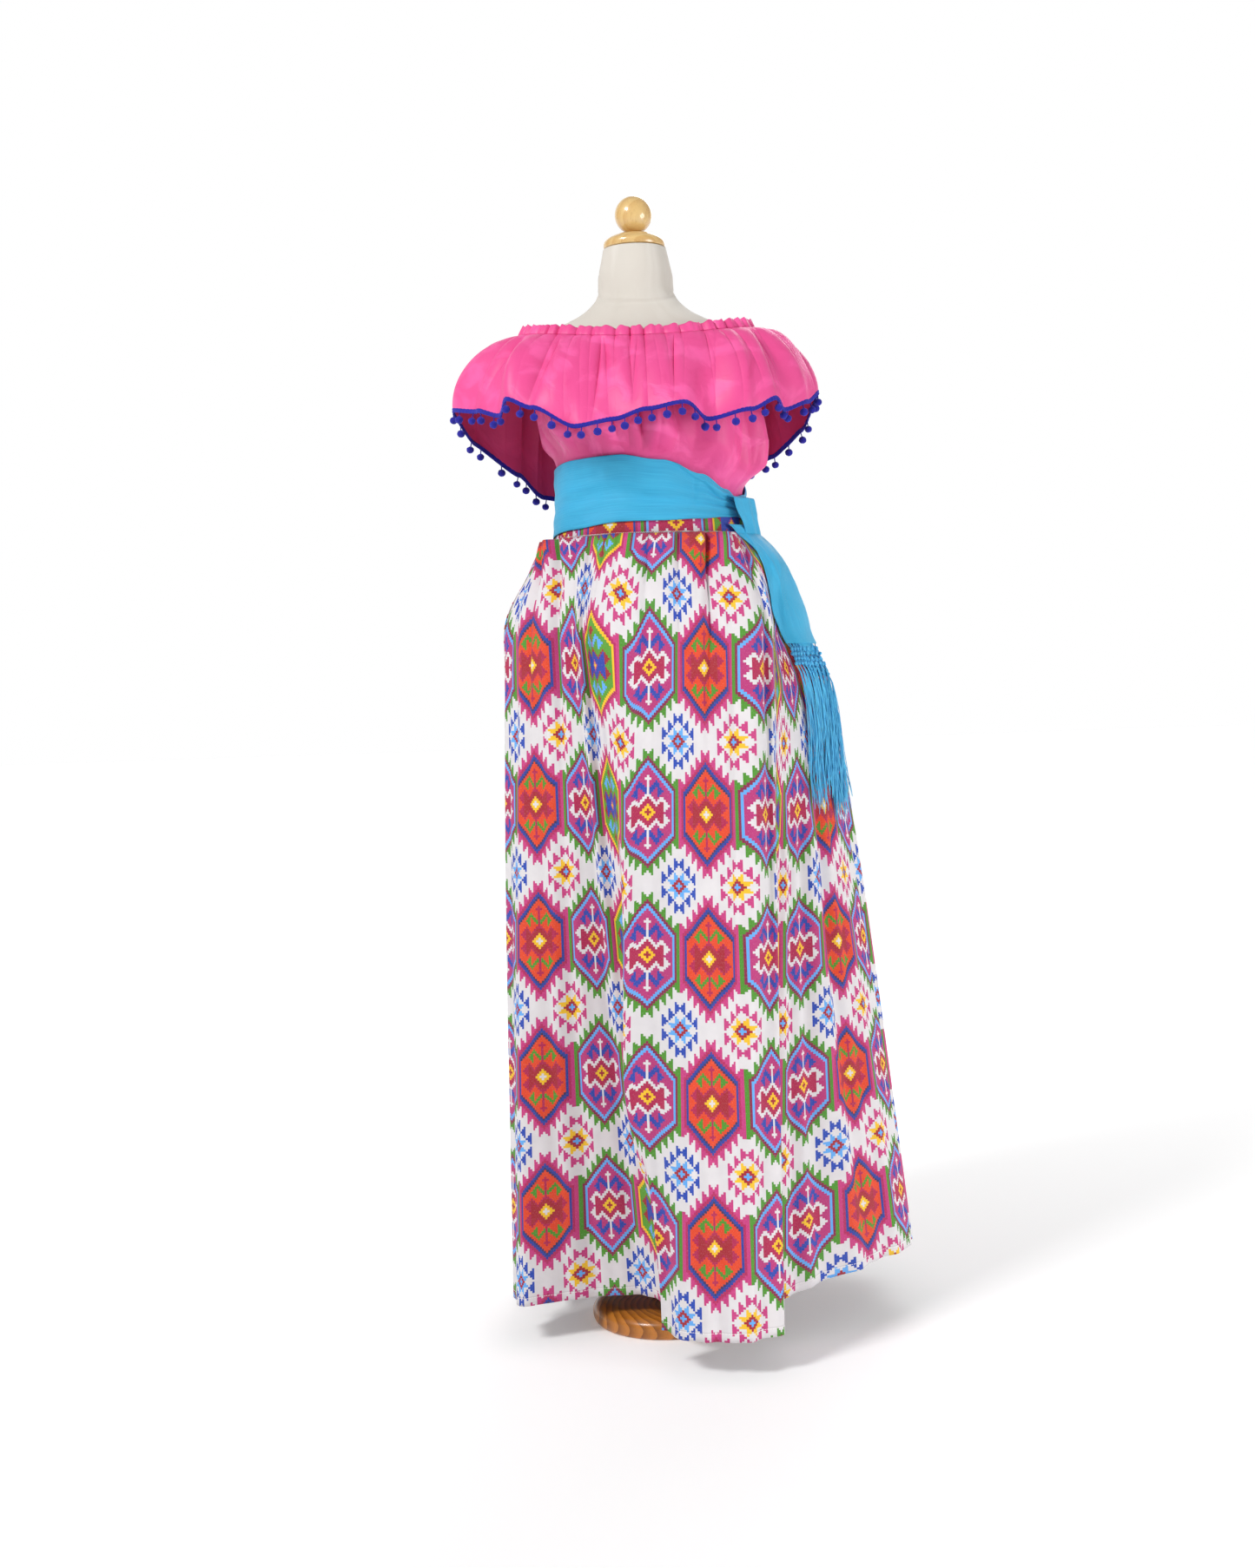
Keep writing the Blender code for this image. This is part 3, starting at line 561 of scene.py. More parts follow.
def solid_piece(name: str, mesh: Mesh, sharp: float = 40.0) -> Piece:
    """Turn a finished bmesh into an object.

    Args:
        name: the piece's name.
        mesh: the geometry, which is freed.
        sharp: angle in degrees over which an edge shows sharp.

    Returns:
        The new object.
    """
    data = bpy.data.meshes.new(name)
    mesh.to_mesh(data)
    mesh.free()
    data.shade_smooth()
    data.set_sharp_from_angle(angle=math.radians(sharp))
    piece = bpy.data.objects.new(name, data)
    bpy.context.collection.objects.link(piece)
    return piece


def turned(name: str, profile: Iterable[tuple[float, float]], steps: int) -> Piece:
    """Turn a profile about the vertical axis.

    Args:
        name: the piece's name.
        profile: radius and height of its points, from the top to the bottom.
        steps: how many faces it has round.

    Returns:
        The new object.
    """
    mesh = bmesh.new()
    line = [mesh.verts.new((radius, 0.0, z)) for radius, z in profile]
    edges = [mesh.edges.new(pair) for pair in zip(line, line[1:])]
    bmesh.ops.spin(
        mesh,
        geom=line + edges,
        cent=(0, 0, 0),
        axis=(0, 0, 1),
        angle=math.tau,
        steps=steps,
        use_merge=True,
    )
    bmesh.ops.remove_doubles(mesh, verts=mesh.verts, dist=1e-6)
    bmesh.ops.recalc_face_normals(mesh, faces=mesh.faces)
    return solid_piece(name, mesh, sharp=35.0)


def strand(mesh: Mesh, path: Array, radius: float, sides: int = 3) -> None:
    """Add a thin thread along a path to a mesh.

    Args:
        mesh: the mesh to add to.
        path: the thread's points, in order.
        radius: half of its thickness; its last point is half as thick.
        sides: how many sides it has.
    """
    along = path[-1] - path[0]
    across = np.cross(along, (0.3, 1.0, 0.2))
    across = across / np.linalg.norm(across)
    other = np.cross(along / np.linalg.norm(along), across)
    rings = []
    for step, point in enumerate(path):
        half = radius * (1.0 if step < len(path) - 1 else 0.5)
        turns = [math.tau * k / sides for k in range(sides)]
        around = [across * math.cos(turn) + other * math.sin(turn) for turn in turns]
        rings.append([mesh.verts.new(point + side * half) for side in around])
    for before, after in zip(rings, rings[1:]):
        for k in range(sides):
            following = (k + 1) % sides
            mesh.faces.new((before[k], before[following], after[following], after[k]))
    mesh.faces.new(rings[0][::-1])
    mesh.faces.new(rings[-1])


def declare(piece: Piece, node: str, slot: str, *finishes: Material) -> None:
    """Give a piece its materials, attach it to the root body and hide the solid of the part that it
    stands for.

    Args:
        piece: the finished piece.
        node: the solid's name.
        slot: not used.
        finishes: the finishes of its material slots, in order.
    """
    for finish in finishes:
        piece.data.materials.append(finish)
    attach(piece, "root")
    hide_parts(node)


class Graph:
    """A material's or a group's nodes, with short ways to add and join them."""

    def __init__(self, tree: Tree) -> None:
        """Keep the tree that the nodes go into."""
        self.tree = tree

    def add(self, kind: str, values: Optional[dict] = None, **settings) -> Node:
        """Add a node.

        Args:
            kind: the node's type, without the leading ShaderNode.
            values: what each input gets, by name or number: a socket or a constant.
            settings: the node's own options.

        Returns:
            The node.
        """
        node = self.tree.nodes.new("ShaderNode" + kind)
        for name, setting in settings.items():
            setattr(node, name, setting)
        return self._fill(node, values or {})

    def _fill(self, node: Node, values: dict) -> Node:
        """Join a node's inputs to sockets, or set them to constants."""
        for name, value in values.items():
            if isinstance(value, Socket):
                self.tree.links.new(value, node.inputs[name])
            else:
                node.inputs[name].default_value = value
        return node

    def math(self, operation: str, *values: "float | Socket") -> Socket:
        """Work out a number from one to three others."""
        return self.add("Math", dict(enumerate(values)), operation=operation).outputs[0]

    def mix(self, share: "float | Socket", first: Socket, second: Socket) -> Socket:
        """Blend two colours: the first at 0, the second at 1."""
        node = self.add("Mix", {0: share, 6: first, 7: second}, data_type="RGBA")
        return node.outputs[2]

    def tinted(self, share: Socket, colour: Socket, tint: tuple) -> Socket:
        """Multiply a colour by a tint where a mask is set."""
        values = {0: share, 6: colour, 7: (*tint, 1.0)}
        return self.add("Mix", values, data_type="RGBA", blend_type="MULTIPLY").outputs[2]

    def shaded(self, mask: Socket, amount: float, colour: Socket, tint: tuple) -> Socket:
        """Multiply a colour by a tint, by an amount where a mask is set."""
        return self.tinted(self.math("MULTIPLY", mask, amount), colour, tint)

    def noise(self, place: Socket, scale: float, detail: float = 3.0) -> Socket:
        """Soft noise from 0 to 1."""
        return self.add("TexNoise", {"Vector": place, "Scale": scale, "Detail": detail}).outputs[0]

    def stretched(self, place: Socket, scale: tuple) -> Socket:
        """Scale a place by its own amount along each axis."""
        values = {"Vector": place, "Scale": scale}
        return self.add("Mapping", values, vector_type="POINT").outputs[0]

    def levels(self, value: Socket, low: float, high: float, start: float, end: float) -> Socket:
        """Spread a value's range over another one, held at both ends."""
        values = {0: value, 1: low, 2: high, 3: start, 4: end}
        return self.add("MapRange", values, clamp=True).outputs[0]

    def group(self, made: Tree, values: dict) -> Node:
        """Place a shared effect with its own values."""
        node = self.tree.nodes.new("ShaderNodeGroup")
        node.node_tree = made
        return self._fill(node, values)

    def total(self, *layers: tuple[Socket, float]) -> Socket:
        """Add up values, each times its own factor."""
        height = 0.0
        for source, factor in layers:
            height = self.math("MULTIPLY_ADD", source, factor, height)
        return height


def linear(red: int, green: int, blue: int) -> tuple[float, float, float]:
    """Turn a colour as seen, from 0 to 255, into the light it stands for."""
    parts = [value / 255.0 for value in (red, green, blue)]
    return tuple(p / 12.92 if p <= 0.04045 else ((p + 0.055) / 1.055) ** 2.4 for p in parts)


def opaque(seen: tuple[int, int, int]) -> tuple[float, ...]:
    """The four numbers that a colour input takes, for a colour as seen."""
    return (*linear(*seen), 1.0)


class Effects:
    """Effects that several finishes share, each built once as a node group."""

    def __init__(self) -> None:
        """Build every effect."""
        self.weave = self._weave()
        self.creases = self._creases()
        self.rings = self._rings()

    @staticmethod
    def _start(name: str, takes: dict[str, float], gives: Sequence[str]) -> tuple:
        """Begin a group whose first input is a place.

        Args:
            name: the group's name.
            takes: its number inputs and their defaults.
            gives: the names of its number outputs.

        Returns:
            The group's tree, its graph, its input node and its output node.
        """
        tree = bpy.data.node_groups.new(name, "ShaderNodeTree")
        tree.interface.new_socket("Place", in_out="INPUT", socket_type="NodeSocketVector")
        for label, value in takes.items():
            made = tree.interface.new_socket(label, in_out="INPUT", socket_type="NodeSocketFloat")
            made.default_value = value
        for label in gives:
            tree.interface.new_socket(label, in_out="OUTPUT", socket_type="NodeSocketFloat")
        enter, leave = tree.nodes.new("NodeGroupInput"), tree.nodes.new("NodeGroupOutput")
        return tree, Graph(tree), enter, leave

    def woven(
        self, graph: Graph, place: Socket, rate: float, rib: float = 1.0
    ) -> tuple[Socket, Socket]:
        """Place the weave on a finish: the threads' height and the mask of painted shade between
        them.
        """
        node = graph.group(self.weave, {"Place": place, "Threads per metre": rate, "Rib": rib})
        return node.outputs["Height"], node.outputs["Gaps"]

    def creased(self, graph: Graph, place: Socket, size: float) -> tuple[Socket, Socket]:
        """Place the creases on a finish: their height and the mask of rubbed places."""
        node = graph.group(self.creases, {"Place": place, "Size": size})
        return node.outputs["Height"], node.outputs["Worn"]

    def _weave(self) -> Tree:
        """Crossing threads on flat cloth: height, and a mask of painted shade in the spaces between
        them.
        """
        takes = {"Threads per metre": 1800.0, "Rib": 1.0}
        tree, graph, enter, leave = self._start("Weave", takes, ("Height", "Gaps"))
        apart = graph.add("SeparateXYZ", {0: enter.outputs["Place"]})
        rate = graph.math("MULTIPLY", enter.outputs["Threads per metre"], math.tau)
        warp = graph.math("SINE", graph.math("MULTIPLY", apart.outputs[0], rate))
        ribbed = graph.math("MULTIPLY", rate, enter.outputs["Rib"])
        weft = graph.math("SINE", graph.math("MULTIPLY", apart.outputs[1], ribbed))
        height = graph.math("MULTIPLY", graph.math("ADD", warp, weft), 0.5)
        uneven_threads = graph.noise(graph.stretched(enter.outputs["Place"], (90, 900, 1)), 3.0)
        total = graph.math("ADD", height, graph.math("MULTIPLY", uneven_threads, 0.8))
        feed(graph, leave, Height=total, Gaps=graph.levels(height, -0.9, 0.2, 1.0, 0.0))
        return tree

    def _creases(self) -> Tree:
        """Soft small creases of worn cloth: height, and a mask of rubbed places."""
        tree, graph, enter, leave = self._start("Creases", {"Size": 18.0}, ("Height", "Worn"))
        place = enter.outputs["Place"]
        values = {"Vector": place, "Scale": enter.outputs["Size"], "Detail": 4.0, "Distortion": 0.6}
        soft = graph.add("TexNoise", values).outputs[0]
        ridge = graph.math("ABSOLUTE", graph.math("SUBTRACT", soft, 0.5))
        sharp = graph.levels(ridge, 0.0, 0.12, 1.0, 0.0)
        total = graph.math("ADD", soft, graph.math("MULTIPLY", sharp, 0.10))
        worn = graph.levels(graph.noise(place, 31.0), 0.45, 0.70, 0.0, 1.0)
        feed(graph, leave, Height=total, Worn=worn)
        return tree

    def _rings(self) -> Tree:
        """Growth rings and pores of wood cut across its length: the two masks."""
        takes = {"Rings": 60.0, "Wander": 1.5}
        tree, graph, enter, leave = self._start("Wood", takes, ("Rings", "Pores"))
        values = {
            "Vector": enter.outputs["Place"],
            "Scale": enter.outputs["Rings"],
            "Distortion": enter.outputs["Wander"],
            "Detail": 2.0,
            "Detail Scale": 1.2,
        }
        wave = graph.add("TexWave", values, wave_type="RINGS", rings_direction="X")
        wave.wave_profile = "SAW"
        pores = graph.noise(graph.stretched(enter.outputs["Place"], (40, 900, 900)), 1.0, 2.0)
        pores = graph.levels(pores, 0.58, 0.70, 0.0, 1.0)
        feed(graph, leave, Rings=wave.outputs[1], Pores=pores)
        return tree


class Dye(Enum):
    """The print's colours."""

    WHITE = (224, 220, 222)
    PINK = (200, 54, 126)
    ROSE = (180, 32, 92)
    MAGENTA = (184, 46, 118)
    RASPBERRY = (176, 22, 76)
    CRIMSON = (166, 26, 44)
    PLUM = (136, 26, 70)
    ORANGE = (226, 66, 22)
    GREEN = (74, 146, 34)
    LEAF = (88, 156, 40)
    NAVY = (36, 60, 156)
    INK = (58, 44, 84)
    BLUE = (38, 66, 170)
    ROYAL = (30, 70, 178)
    SKY = (96, 170, 240)
    YELLOW = (244, 194, 28)
    BRICK = (160, 36, 42)
    NONE = (0, 0, 0)


class Motif(Enum):
    """The print's motifs: three hexagons that take turns, and two stars between them."""

    ORANGE_HEXAGON = 0
    MAGENTA_HEXAGON = 1
    GREEN_HEXAGON = 2
    PINK_STAR = 3
    BLUE_STAR = 4


# How many cells up the toothed ground of a hexagon reaches, in each column out from its middle
TEETH = (24, 25, 26, 21, 22, 23, 18, 19, 20, 15, 16, 17, 12, 13, 14, 14)
HEXAGON_TIP = 21
HEXAGON_HALF = 12

# Cells of each shape of the motifs: column out from the middle, first and last cell up
ZIGZAG = (
    (0, 7, 7), (1, 6, 7), (2, 5, 6), (3, 4, 5), (4, 3, 4), (5, 4, 5), (6, 5, 6), (7, 5, 6),
    (8, 1, 5), (9, 2, 4), (10, 3, 3),
)
BOW = ((0, 0, 6), (1, 0, 5), (2, 0, 4), (3, 0, 3), (4, 0, 2), (5, 0, 3), (6, 0, 4), (7, 0, 4))
WIDE_BOW = (
    (0, 0, 7), (1, 0, 6), (2, 0, 5), (3, 0, 4), (4, 0, 3), (5, 0, 4), (6, 0, 5), (7, 0, 6),
    (8, 1, 5), (9, 2, 4), (10, 3, 3),
)
BOW_CORE = ((0, 0, 5), (1, 0, 5), (2, 0, 4), (3, 0, 3), (4, 0, 2), (5, 0, 3), (6, 0, 4), (7, 0, 5))
STEM = ((0, 8, 15), (1, 14, 14))
WIDE_STEM = ((0, 8, 15), (1, 13, 15), (2, 14, 14))
HOOKS = ((1, 8, 10), (2, 9, 11), (3, 10, 12), (4, 11, 13), (5, 7, 12), (6, 8, 10), (7, 9, 9))
THIN_HOOKS = ((1, 8, 9), (2, 9, 10), (3, 10, 11), (4, 11, 12), (5, 7, 11), (6, 8, 10), (7, 9, 9))
CROSS = ((0, 0, 1), (1, 0, 0))
STAR_PIECES = (
    (0, 9, 9), (1, 8, 10), (2, 7, 11), (3, 6, 6), (4, 5, 7), (5, 4, 8), (6, 3, 3), (7, 2, 4),
    (8, 1, 5),
)
STAR_POINTS = ((1, 3, 4), (2, 2, 5), (3, 1, 2), (4, 1, 2), (5, 2, 2))


# Cells of the toothed ground round a hexagon
GROUND = tuple((column, 0, reach) for column, reach in enumerate(TEETH))


def diamond(half: int) -> tuple:
    """Cells of a stepped diamond round the middle of a motif."""
    return tuple((column, 0, half - column) for column in range(half + 1))


def hexagon(inset: int, lower: int) -> tuple:
    """Cells of a hexagon that stands in from the band's outer edge, and lower at its slopes."""
    columns = range(HEXAGON_HALF - inset + 1)
    return tuple((column, 0, HEXAGON_TIP - column - lower) for column in columns)


def star(outer: Dye, points: Dye) -> tuple:
    """The shapes of an eight-pointed star in a ring of toothed pieces."""
    return (
        (outer, STAR_PIECES), (points, STAR_POINTS), (Dye.CRIMSON, diamond(3)), (Dye.SKY, CROSS),
    )


# The shapes of each motif with their dyes, later ones over earlier ones: an orange field in a
# navy band, a magenta one in sky blue with a zigzag, a green one in yellow, and the stars
SHAPES = {
    Motif.ORANGE_HEXAGON: (
        (Dye.PINK, GROUND), (Dye.ROSE, hexagon(-1, -2)), (Dye.NAVY, hexagon(0, 0)),
        (Dye.INK, hexagon(1, 2)), (Dye.ORANGE, hexagon(1, 3)), (Dye.RASPBERRY, WIDE_BOW),
        (Dye.RASPBERRY, STEM), (Dye.CRIMSON, BOW_CORE), (Dye.YELLOW, diamond(3)),
        (Dye.WHITE, CROSS), (Dye.GREEN, THIN_HOOKS),
    ),
    Motif.MAGENTA_HEXAGON: (
        (Dye.GREEN, GROUND), (Dye.PLUM, hexagon(-1, -2)), (Dye.SKY, hexagon(0, 0)),
        (Dye.MAGENTA, hexagon(1, 2)), (Dye.RASPBERRY, BOW), (Dye.WHITE, ZIGZAG),
        (Dye.WHITE, STEM), (Dye.YELLOW, diamond(3)), (Dye.CRIMSON, diamond(1)),
        (Dye.BLUE, HOOKS),
    ),
    Motif.GREEN_HEXAGON: (
        (Dye.PINK, GROUND), (Dye.ROSE, hexagon(-1, -2)), (Dye.YELLOW, hexagon(0, 0)),
        (Dye.LEAF, hexagon(1, 2)), (Dye.BRICK, WIDE_BOW), (Dye.BRICK, WIDE_STEM),
        (Dye.BLUE, BOW_CORE), (Dye.PINK, diamond(2)), (Dye.YELLOW, CROSS), (Dye.SKY, THIN_HOOKS),
    ),
    Motif.PINK_STAR: star(Dye.PINK, Dye.YELLOW),
    Motif.BLUE_STAR: star(Dye.ROYAL, Dye.SKY),
}


@dataclass
class Chart:
    """A quarter of one motif, charted cell by cell outwards and upwards from its middle.

    The other three quarters mirror it.
    """

    motif: Motif
    across: int = 16
    up: int = 31
    cells: list = field(default_factory=list)

    def __post_init__(self) -> None:
        """Draw the motif."""
        stars = (Motif.PINK_STAR, Motif.BLUE_STAR)
        start = Dye.NONE if self.motif in stars else Dye.WHITE
        self.cells = [[start] * self.up for _ in range(self.across)]
        for dye, runs in SHAPES[self.motif]:
            for column, first, last in runs:
                for cell in range(first, min(last + 1, self.up)):
                    self.cells[column][cell] = dye

    def colour(self, graph: Graph, column: Socket, cell: Socket) -> tuple[Socket, Socket]:
        """Make nodes that look the motif up.

        Args:
            graph: where the nodes go.
            column: whole number of cells out from the middle.
            cell: whole number of cells up from the middle.

        Returns:
            The colour there, and 1 where the motif has one.
        """
        pair = graph.math("FLOOR", graph.math("MULTIPLY", column, 0.5))
        odd = graph.math("SUBTRACT", column, graph.math("MULTIPLY", pair, 2.0))
        middle = graph.math("ADD", graph.math("MULTIPLY", odd, float(self.up)), cell)
        place = graph.math("DIVIDE", graph.math("ADD", middle, 0.5), 2.0 * self.up)
        held = [k for k in range(self.across) if any(dye is not Dye.NONE for dye in self.cells[k])]
        shown, there = None, None
        for index in range(held[-1] // 2 + 1):
            stops = self.cells[2 * index] + self.cells[2 * index + 1]
            ramp = self._ramp(graph, place, stops)
            if shown is None:
                shown, there = ramp.outputs[0], ramp.outputs[1]
                continue
            chosen = graph.math("COMPARE", pair, float(index), 0.1)
            shown = graph.mix(chosen, shown, ramp.outputs[0])
            rest = graph.math("MULTIPLY", there, graph.math("SUBTRACT", 1.0, chosen))
            there = graph.math("MULTIPLY_ADD", ramp.outputs[1], chosen, rest)
        last = graph.math("LESS_THAN", pair, held[-1] // 2 + 0.5)
        return shown, graph.math("MULTIPLY", there, last)

    @staticmethod
    def _ramp(graph: Graph, place: Socket, stops: Sequence[Dye]) -> Node:
        """A ramp of hard stops with the colours of a row of cells."""
        node = graph.add("ValToRGB", {0: place})
        ramp = node.color_ramp
        ramp.interpolation = "CONSTANT"
        made = 0
        for index, dye in enumerate(stops):
            if index and dye is stops[index - 1]:
                continue
            stop = ramp.elements[0] if not made else ramp.elements.new(index / len(stops))
            stop.position = index / len(stops)
            stop.color = (*linear(*dye.value), 0.0 if dye is Dye.NONE else 1.0)
            made += 1
            if made == 1:
                ramp.elements.remove(ramp.elements[1])
        return node


def start_material(name: str, settings: dict) -> tuple[Material, Graph, Node]:
    """Make a material.

    Args:
        name: the material's name.
        settings: constants for the inputs of its shader.

    Returns:
        The material, its graph and its shader node.
    """
    made = bpy.data.materials.new(name)
    made.use_nodes = True
    shader = made.node_tree.nodes["Principled BSDF"]
    for label, value in settings.items():
        shader.inputs[label].default_value = value
    return made, Graph(made.node_tree), shader


def feed(graph: Graph, node: Node, **sources: Socket) -> None:
    """Join sockets to a node's inputs, named with underscores for spaces."""
    for name, source in sources.items():
        graph.tree.links.new(source, node.inputs[name.replace("_", " ")])


def surface(
    graph: Graph,
    shader: Node,
    colour: Socket,
    roughness: Socket,
    height: Socket,
    strength: float,
) -> None:
    """Join a finish to its material's shader.

    Args:
        graph: the material's graph.
        shader: the material's shader.
        colour: its colour.
        roughness: its roughness.
        height: the height of its relief in metres.
        strength: how strongly the relief shows.
    """
    bump = graph.add("Bump", {"Height": height, "Strength": strength, "Distance": 1.0})
    feed(graph, shader, Base_Color=colour, Roughness=roughness, Normal=bump.outputs[0])


@dataclass(frozen=True)
class PrintedCotton:
    """White cotton printed in columns of hexagons and stars, with a stitched hem."""

    effects: Effects
    repeat: float = 0.180
    first_row: float = 0.106
    cells_across: float = 30.0
    cells_up: float = 60.0
    hem_fold: float = 0.012
    stitch: float = 0.0032
    overlock: float = 0.0022
    overlock_stitch: float = 0.0019
    threads: float = 2600.0
    crease_size: float = 16.0

    def material(self) -> Material:
        """Build the material. The map's first number counts columns, its second is metres up."""
        made, graph, shader = start_material("printed_cotton", {"Sheen Weight": 0.08})
        apart = graph.add("SeparateXYZ", {0: graph.add("UVMap", uv_map="Cut").outputs[0]})
        colour = self._print(graph, apart.outputs[0], apart.outputs[1])
        metres = graph.add("UVMap", uv_map="Edges").outputs[0]
        up = graph.add("SeparateXYZ", {0: metres}).outputs[1]
        colour = self._ink(graph, colour, metres)
        stitches = self._stitches(graph, metres)
        colour = graph.mix(stitches, colour, opaque((246, 242, 240)))
        folded = graph.math("LESS_THAN", up, self.hem_fold)
        # Painted shade: a thin dark line along the fold of the hem
        from_fold = graph.math("ABSOLUTE", graph.math("SUBTRACT", up, self.hem_fold))
        edge = graph.levels(from_fold, 0.0, 0.0008, 1.0, 0.0)
        colour = graph.shaded(edge, 0.35, colour, (0.45, 0.42, 0.45))
        threads, _ = self.effects.woven(graph, metres, self.threads)
        creases, worn = self.effects.creased(graph, metres, self.crease_size)
        height = graph.total(
            (threads, 0.00004), (creases, 0.0030), (stitches, 0.0003), (folded, 0.0005)
        )
        roughness = graph.levels(worn, 0.0, 1.0, 0.72, 0.84)
        surface(graph, shader, colour, roughness, height, 0.6)
        return made

    def _print(self, graph: Graph, across: Socket, up: Socket) -> Socket:
        """The print's colour at a place on the cloth."""
        column = graph.math("ROUND", across)
        right = graph.math("MULTIPLY", graph.math("SUBTRACT", across, column), self.cells_across)
        out = graph.math("ROUND", graph.math("ABSOLUTE", right))
        row = graph.math("DIVIDE", graph.math("SUBTRACT", up, self.first_row), self.repeat)
        row = graph.math("SUBTRACT", row, graph.math("ROUND", row))
        above = graph.math("MULTIPLY", row, self.cells_up)
        cell = graph.math("ROUND", graph.math("ABSOLUTE", above))
        hexagons = (Motif.ORANGE_HEXAGON, Motif.MAGENTA_HEXAGON, Motif.GREEN_HEXAGON)
        colour, magenta, green = (Chart(motif).colour(graph, out, cell)[0] for motif in hexagons)
        turn = graph.math("FLOORED_MODULO", column, 4.0)
        odd = graph.math("FLOORED_MODULO", column, 2.0)
        colour = graph.mix(graph.math("COMPARE", odd, 1.0, 0.1), colour, magenta)
        colour = graph.mix(graph.math("COMPARE", turn, 2.0, 0.1), colour, green)
        out = graph.math("SUBTRACT", self.cells_across / 2, out)
        cell = graph.math("SUBTRACT", self.cells_up / 2, cell)
        pink, there = Chart(Motif.PINK_STAR).colour(graph, out, cell)
        blue, _ = Chart(Motif.BLUE_STAR).colour(graph, out, cell)
        side = graph.math("FLOORED_MODULO", graph.math("FLOOR", across), 2.0)
        star = graph.mix(graph.math("COMPARE", side, 1.0, 0.1), pink, blue)
        return graph.mix(there, colour, star)

    def _ink(self, graph: Graph, colour: Socket, metres: Socket) -> Socket:
        """Uneven ink: slightly paler and darker patches, and threads that show through."""
        patches = graph.levels(graph.noise(metres, 42.0, 4.0), 0.35, 0.75, 0.0, 0.30)
        colour = graph.tinted(patches, colour, (0.80, 0.78, 0.80))
        threads = graph.noise(graph.stretched(metres, (700, 90, 1)), 4.0, 2.0)
        pale = graph.levels(threads, 0.52, 0.78, 0.0, 0.16)
        return graph.mix(pale, colour, opaque((235, 231, 232)))

    def _stitches(self, graph: Graph, metres: Socket) -> Socket:
        """A mask of the stitches of the hem's fold and of the overlocked waist seam."""
        apart = graph.add("SeparateXYZ", {0: metres})
        across, up = apart.outputs[0], apart.outputs[1]
        dash = graph.math("FRACT", graph.math("DIVIDE", across, self.stitch))
        line = graph.math("COMPARE", up, self.hem_fold - 0.0015, 0.0003)
        sewn = graph.math("MULTIPLY", graph.math("LESS_THAN", dash, 0.72), line)
        above = graph.math("SUBTRACT", up, WAIST_EDGE)
        slant = graph.math("MULTIPLY_ADD", above, 0.7, across)
        loops = graph.math("FRACT", graph.math("DIVIDE", slant, self.overlock_stitch))
        slanted = graph.math("LESS_THAN", loops, 0.5)
        on_seam = graph.math("COMPARE", above, self.overlock / 2, self.overlock / 2)
        return graph.math("MAXIMUM", sewn, graph.math("MULTIPLY", slanted, on_seam))


@dataclass(frozen=True)
class Satin:
    """Smooth pink satin with soft highlights and patches of painted shade; its wrong side is duller
    and darker with painted shade.
    """

    effects: Effects
    name: str = "pink_satin"
    # A lit pink, and a darker pink that paints shade in patches along the creases
    colour: tuple = (244, 96, 164)
    shade: tuple = (208, 38, 108)
    shine: float = 0.40
    threads: float = 3600.0
    crease_size: float = 26.0
    fine_size: float = 90.0

    def material(self) -> Material:
        """Build the material on the map of the cut, in metres."""
        settings = {
            "Sheen Weight": 0.04,
            "Sheen Tint": opaque((255, 170, 205)),
            "Specular IOR Level": 0.32,
        }
        made, graph, shader = start_material(self.name, settings)
        place = graph.add("UVMap").outputs[0]
        threads, gap_shade = self.effects.woven(graph, place, self.threads, 0.45)
        creases, worn = self.effects.creased(graph, place, self.crease_size)
        upright = graph.stretched(place, (1.0, 0.35, 1.0))
        fine, _ = self.effects.creased(graph, upright, self.fine_size)
        # Painted shade: where the creases' noise is high, the lit pink turns to the darker one
        patches = graph.levels(creases, 0.35, 0.75, 0.0, 0.55)
        colour = graph.mix(patches, opaque(self.colour), opaque(self.shade))
        # Painted shade between the threads
        colour = graph.shaded(gap_shade, 0.10, colour, (0.6, 0.5, 0.55))
        height = graph.total((creases, 0.0022), (fine, 0.0004), (threads, 0.00002))
        roughness = graph.levels(worn, 0.0, 1.0, self.shine, self.shine + 0.10)
        surface(graph, shader, colour, roughness, height, 0.75)
        return made


@dataclass(frozen=True)
class SashWeave:
    """Turquoise cloth with a fine rib across it and a soft sheen."""

    effects: Effects
    name: str = "sash_weave"
    colour: tuple = (58, 184, 226)
    deep: tuple = (28, 152, 206)
    ribs: float = 900.0
    shine: float = 0.52
    crease_size: float = 22.0

    def material(self) -> Material:
        """Build the material on the map of the cut, in metres."""
        settings = {
            "Sheen Weight": 0.30,
            "Sheen Roughness": 0.4,
            "Sheen Tint": opaque((190, 238, 255)),
        }
        made, graph, shader = start_material(self.name, settings)
        place = graph.add("UVMap").outputs[0]
        threads, gap_shade = self.effects.woven(graph, place, self.ribs, 1.6)
        creases, worn = self.effects.creased(graph, place, self.crease_size)
        streaks = graph.noise(graph.stretched(place, (6.0, 260.0, 1.0)), 3.0)
        streaks = graph.levels(streaks, 0.35, 0.70, 0.0, 0.55)
        colour = graph.mix(streaks, opaque(self.colour), opaque(self.deep))
        # Painted shade between the ribs
        colour = graph.shaded(gap_shade, 0.38, colour, (0.35, 0.55, 0.72))
        height = graph.total((creases, 0.0022), (threads, 0.00012))
        roughness = graph.levels(worn, 0.0, 1.0, self.shine, self.shine + 0.12)
        surface(graph, shader, colour, roughness, height, 0.7)
        return made


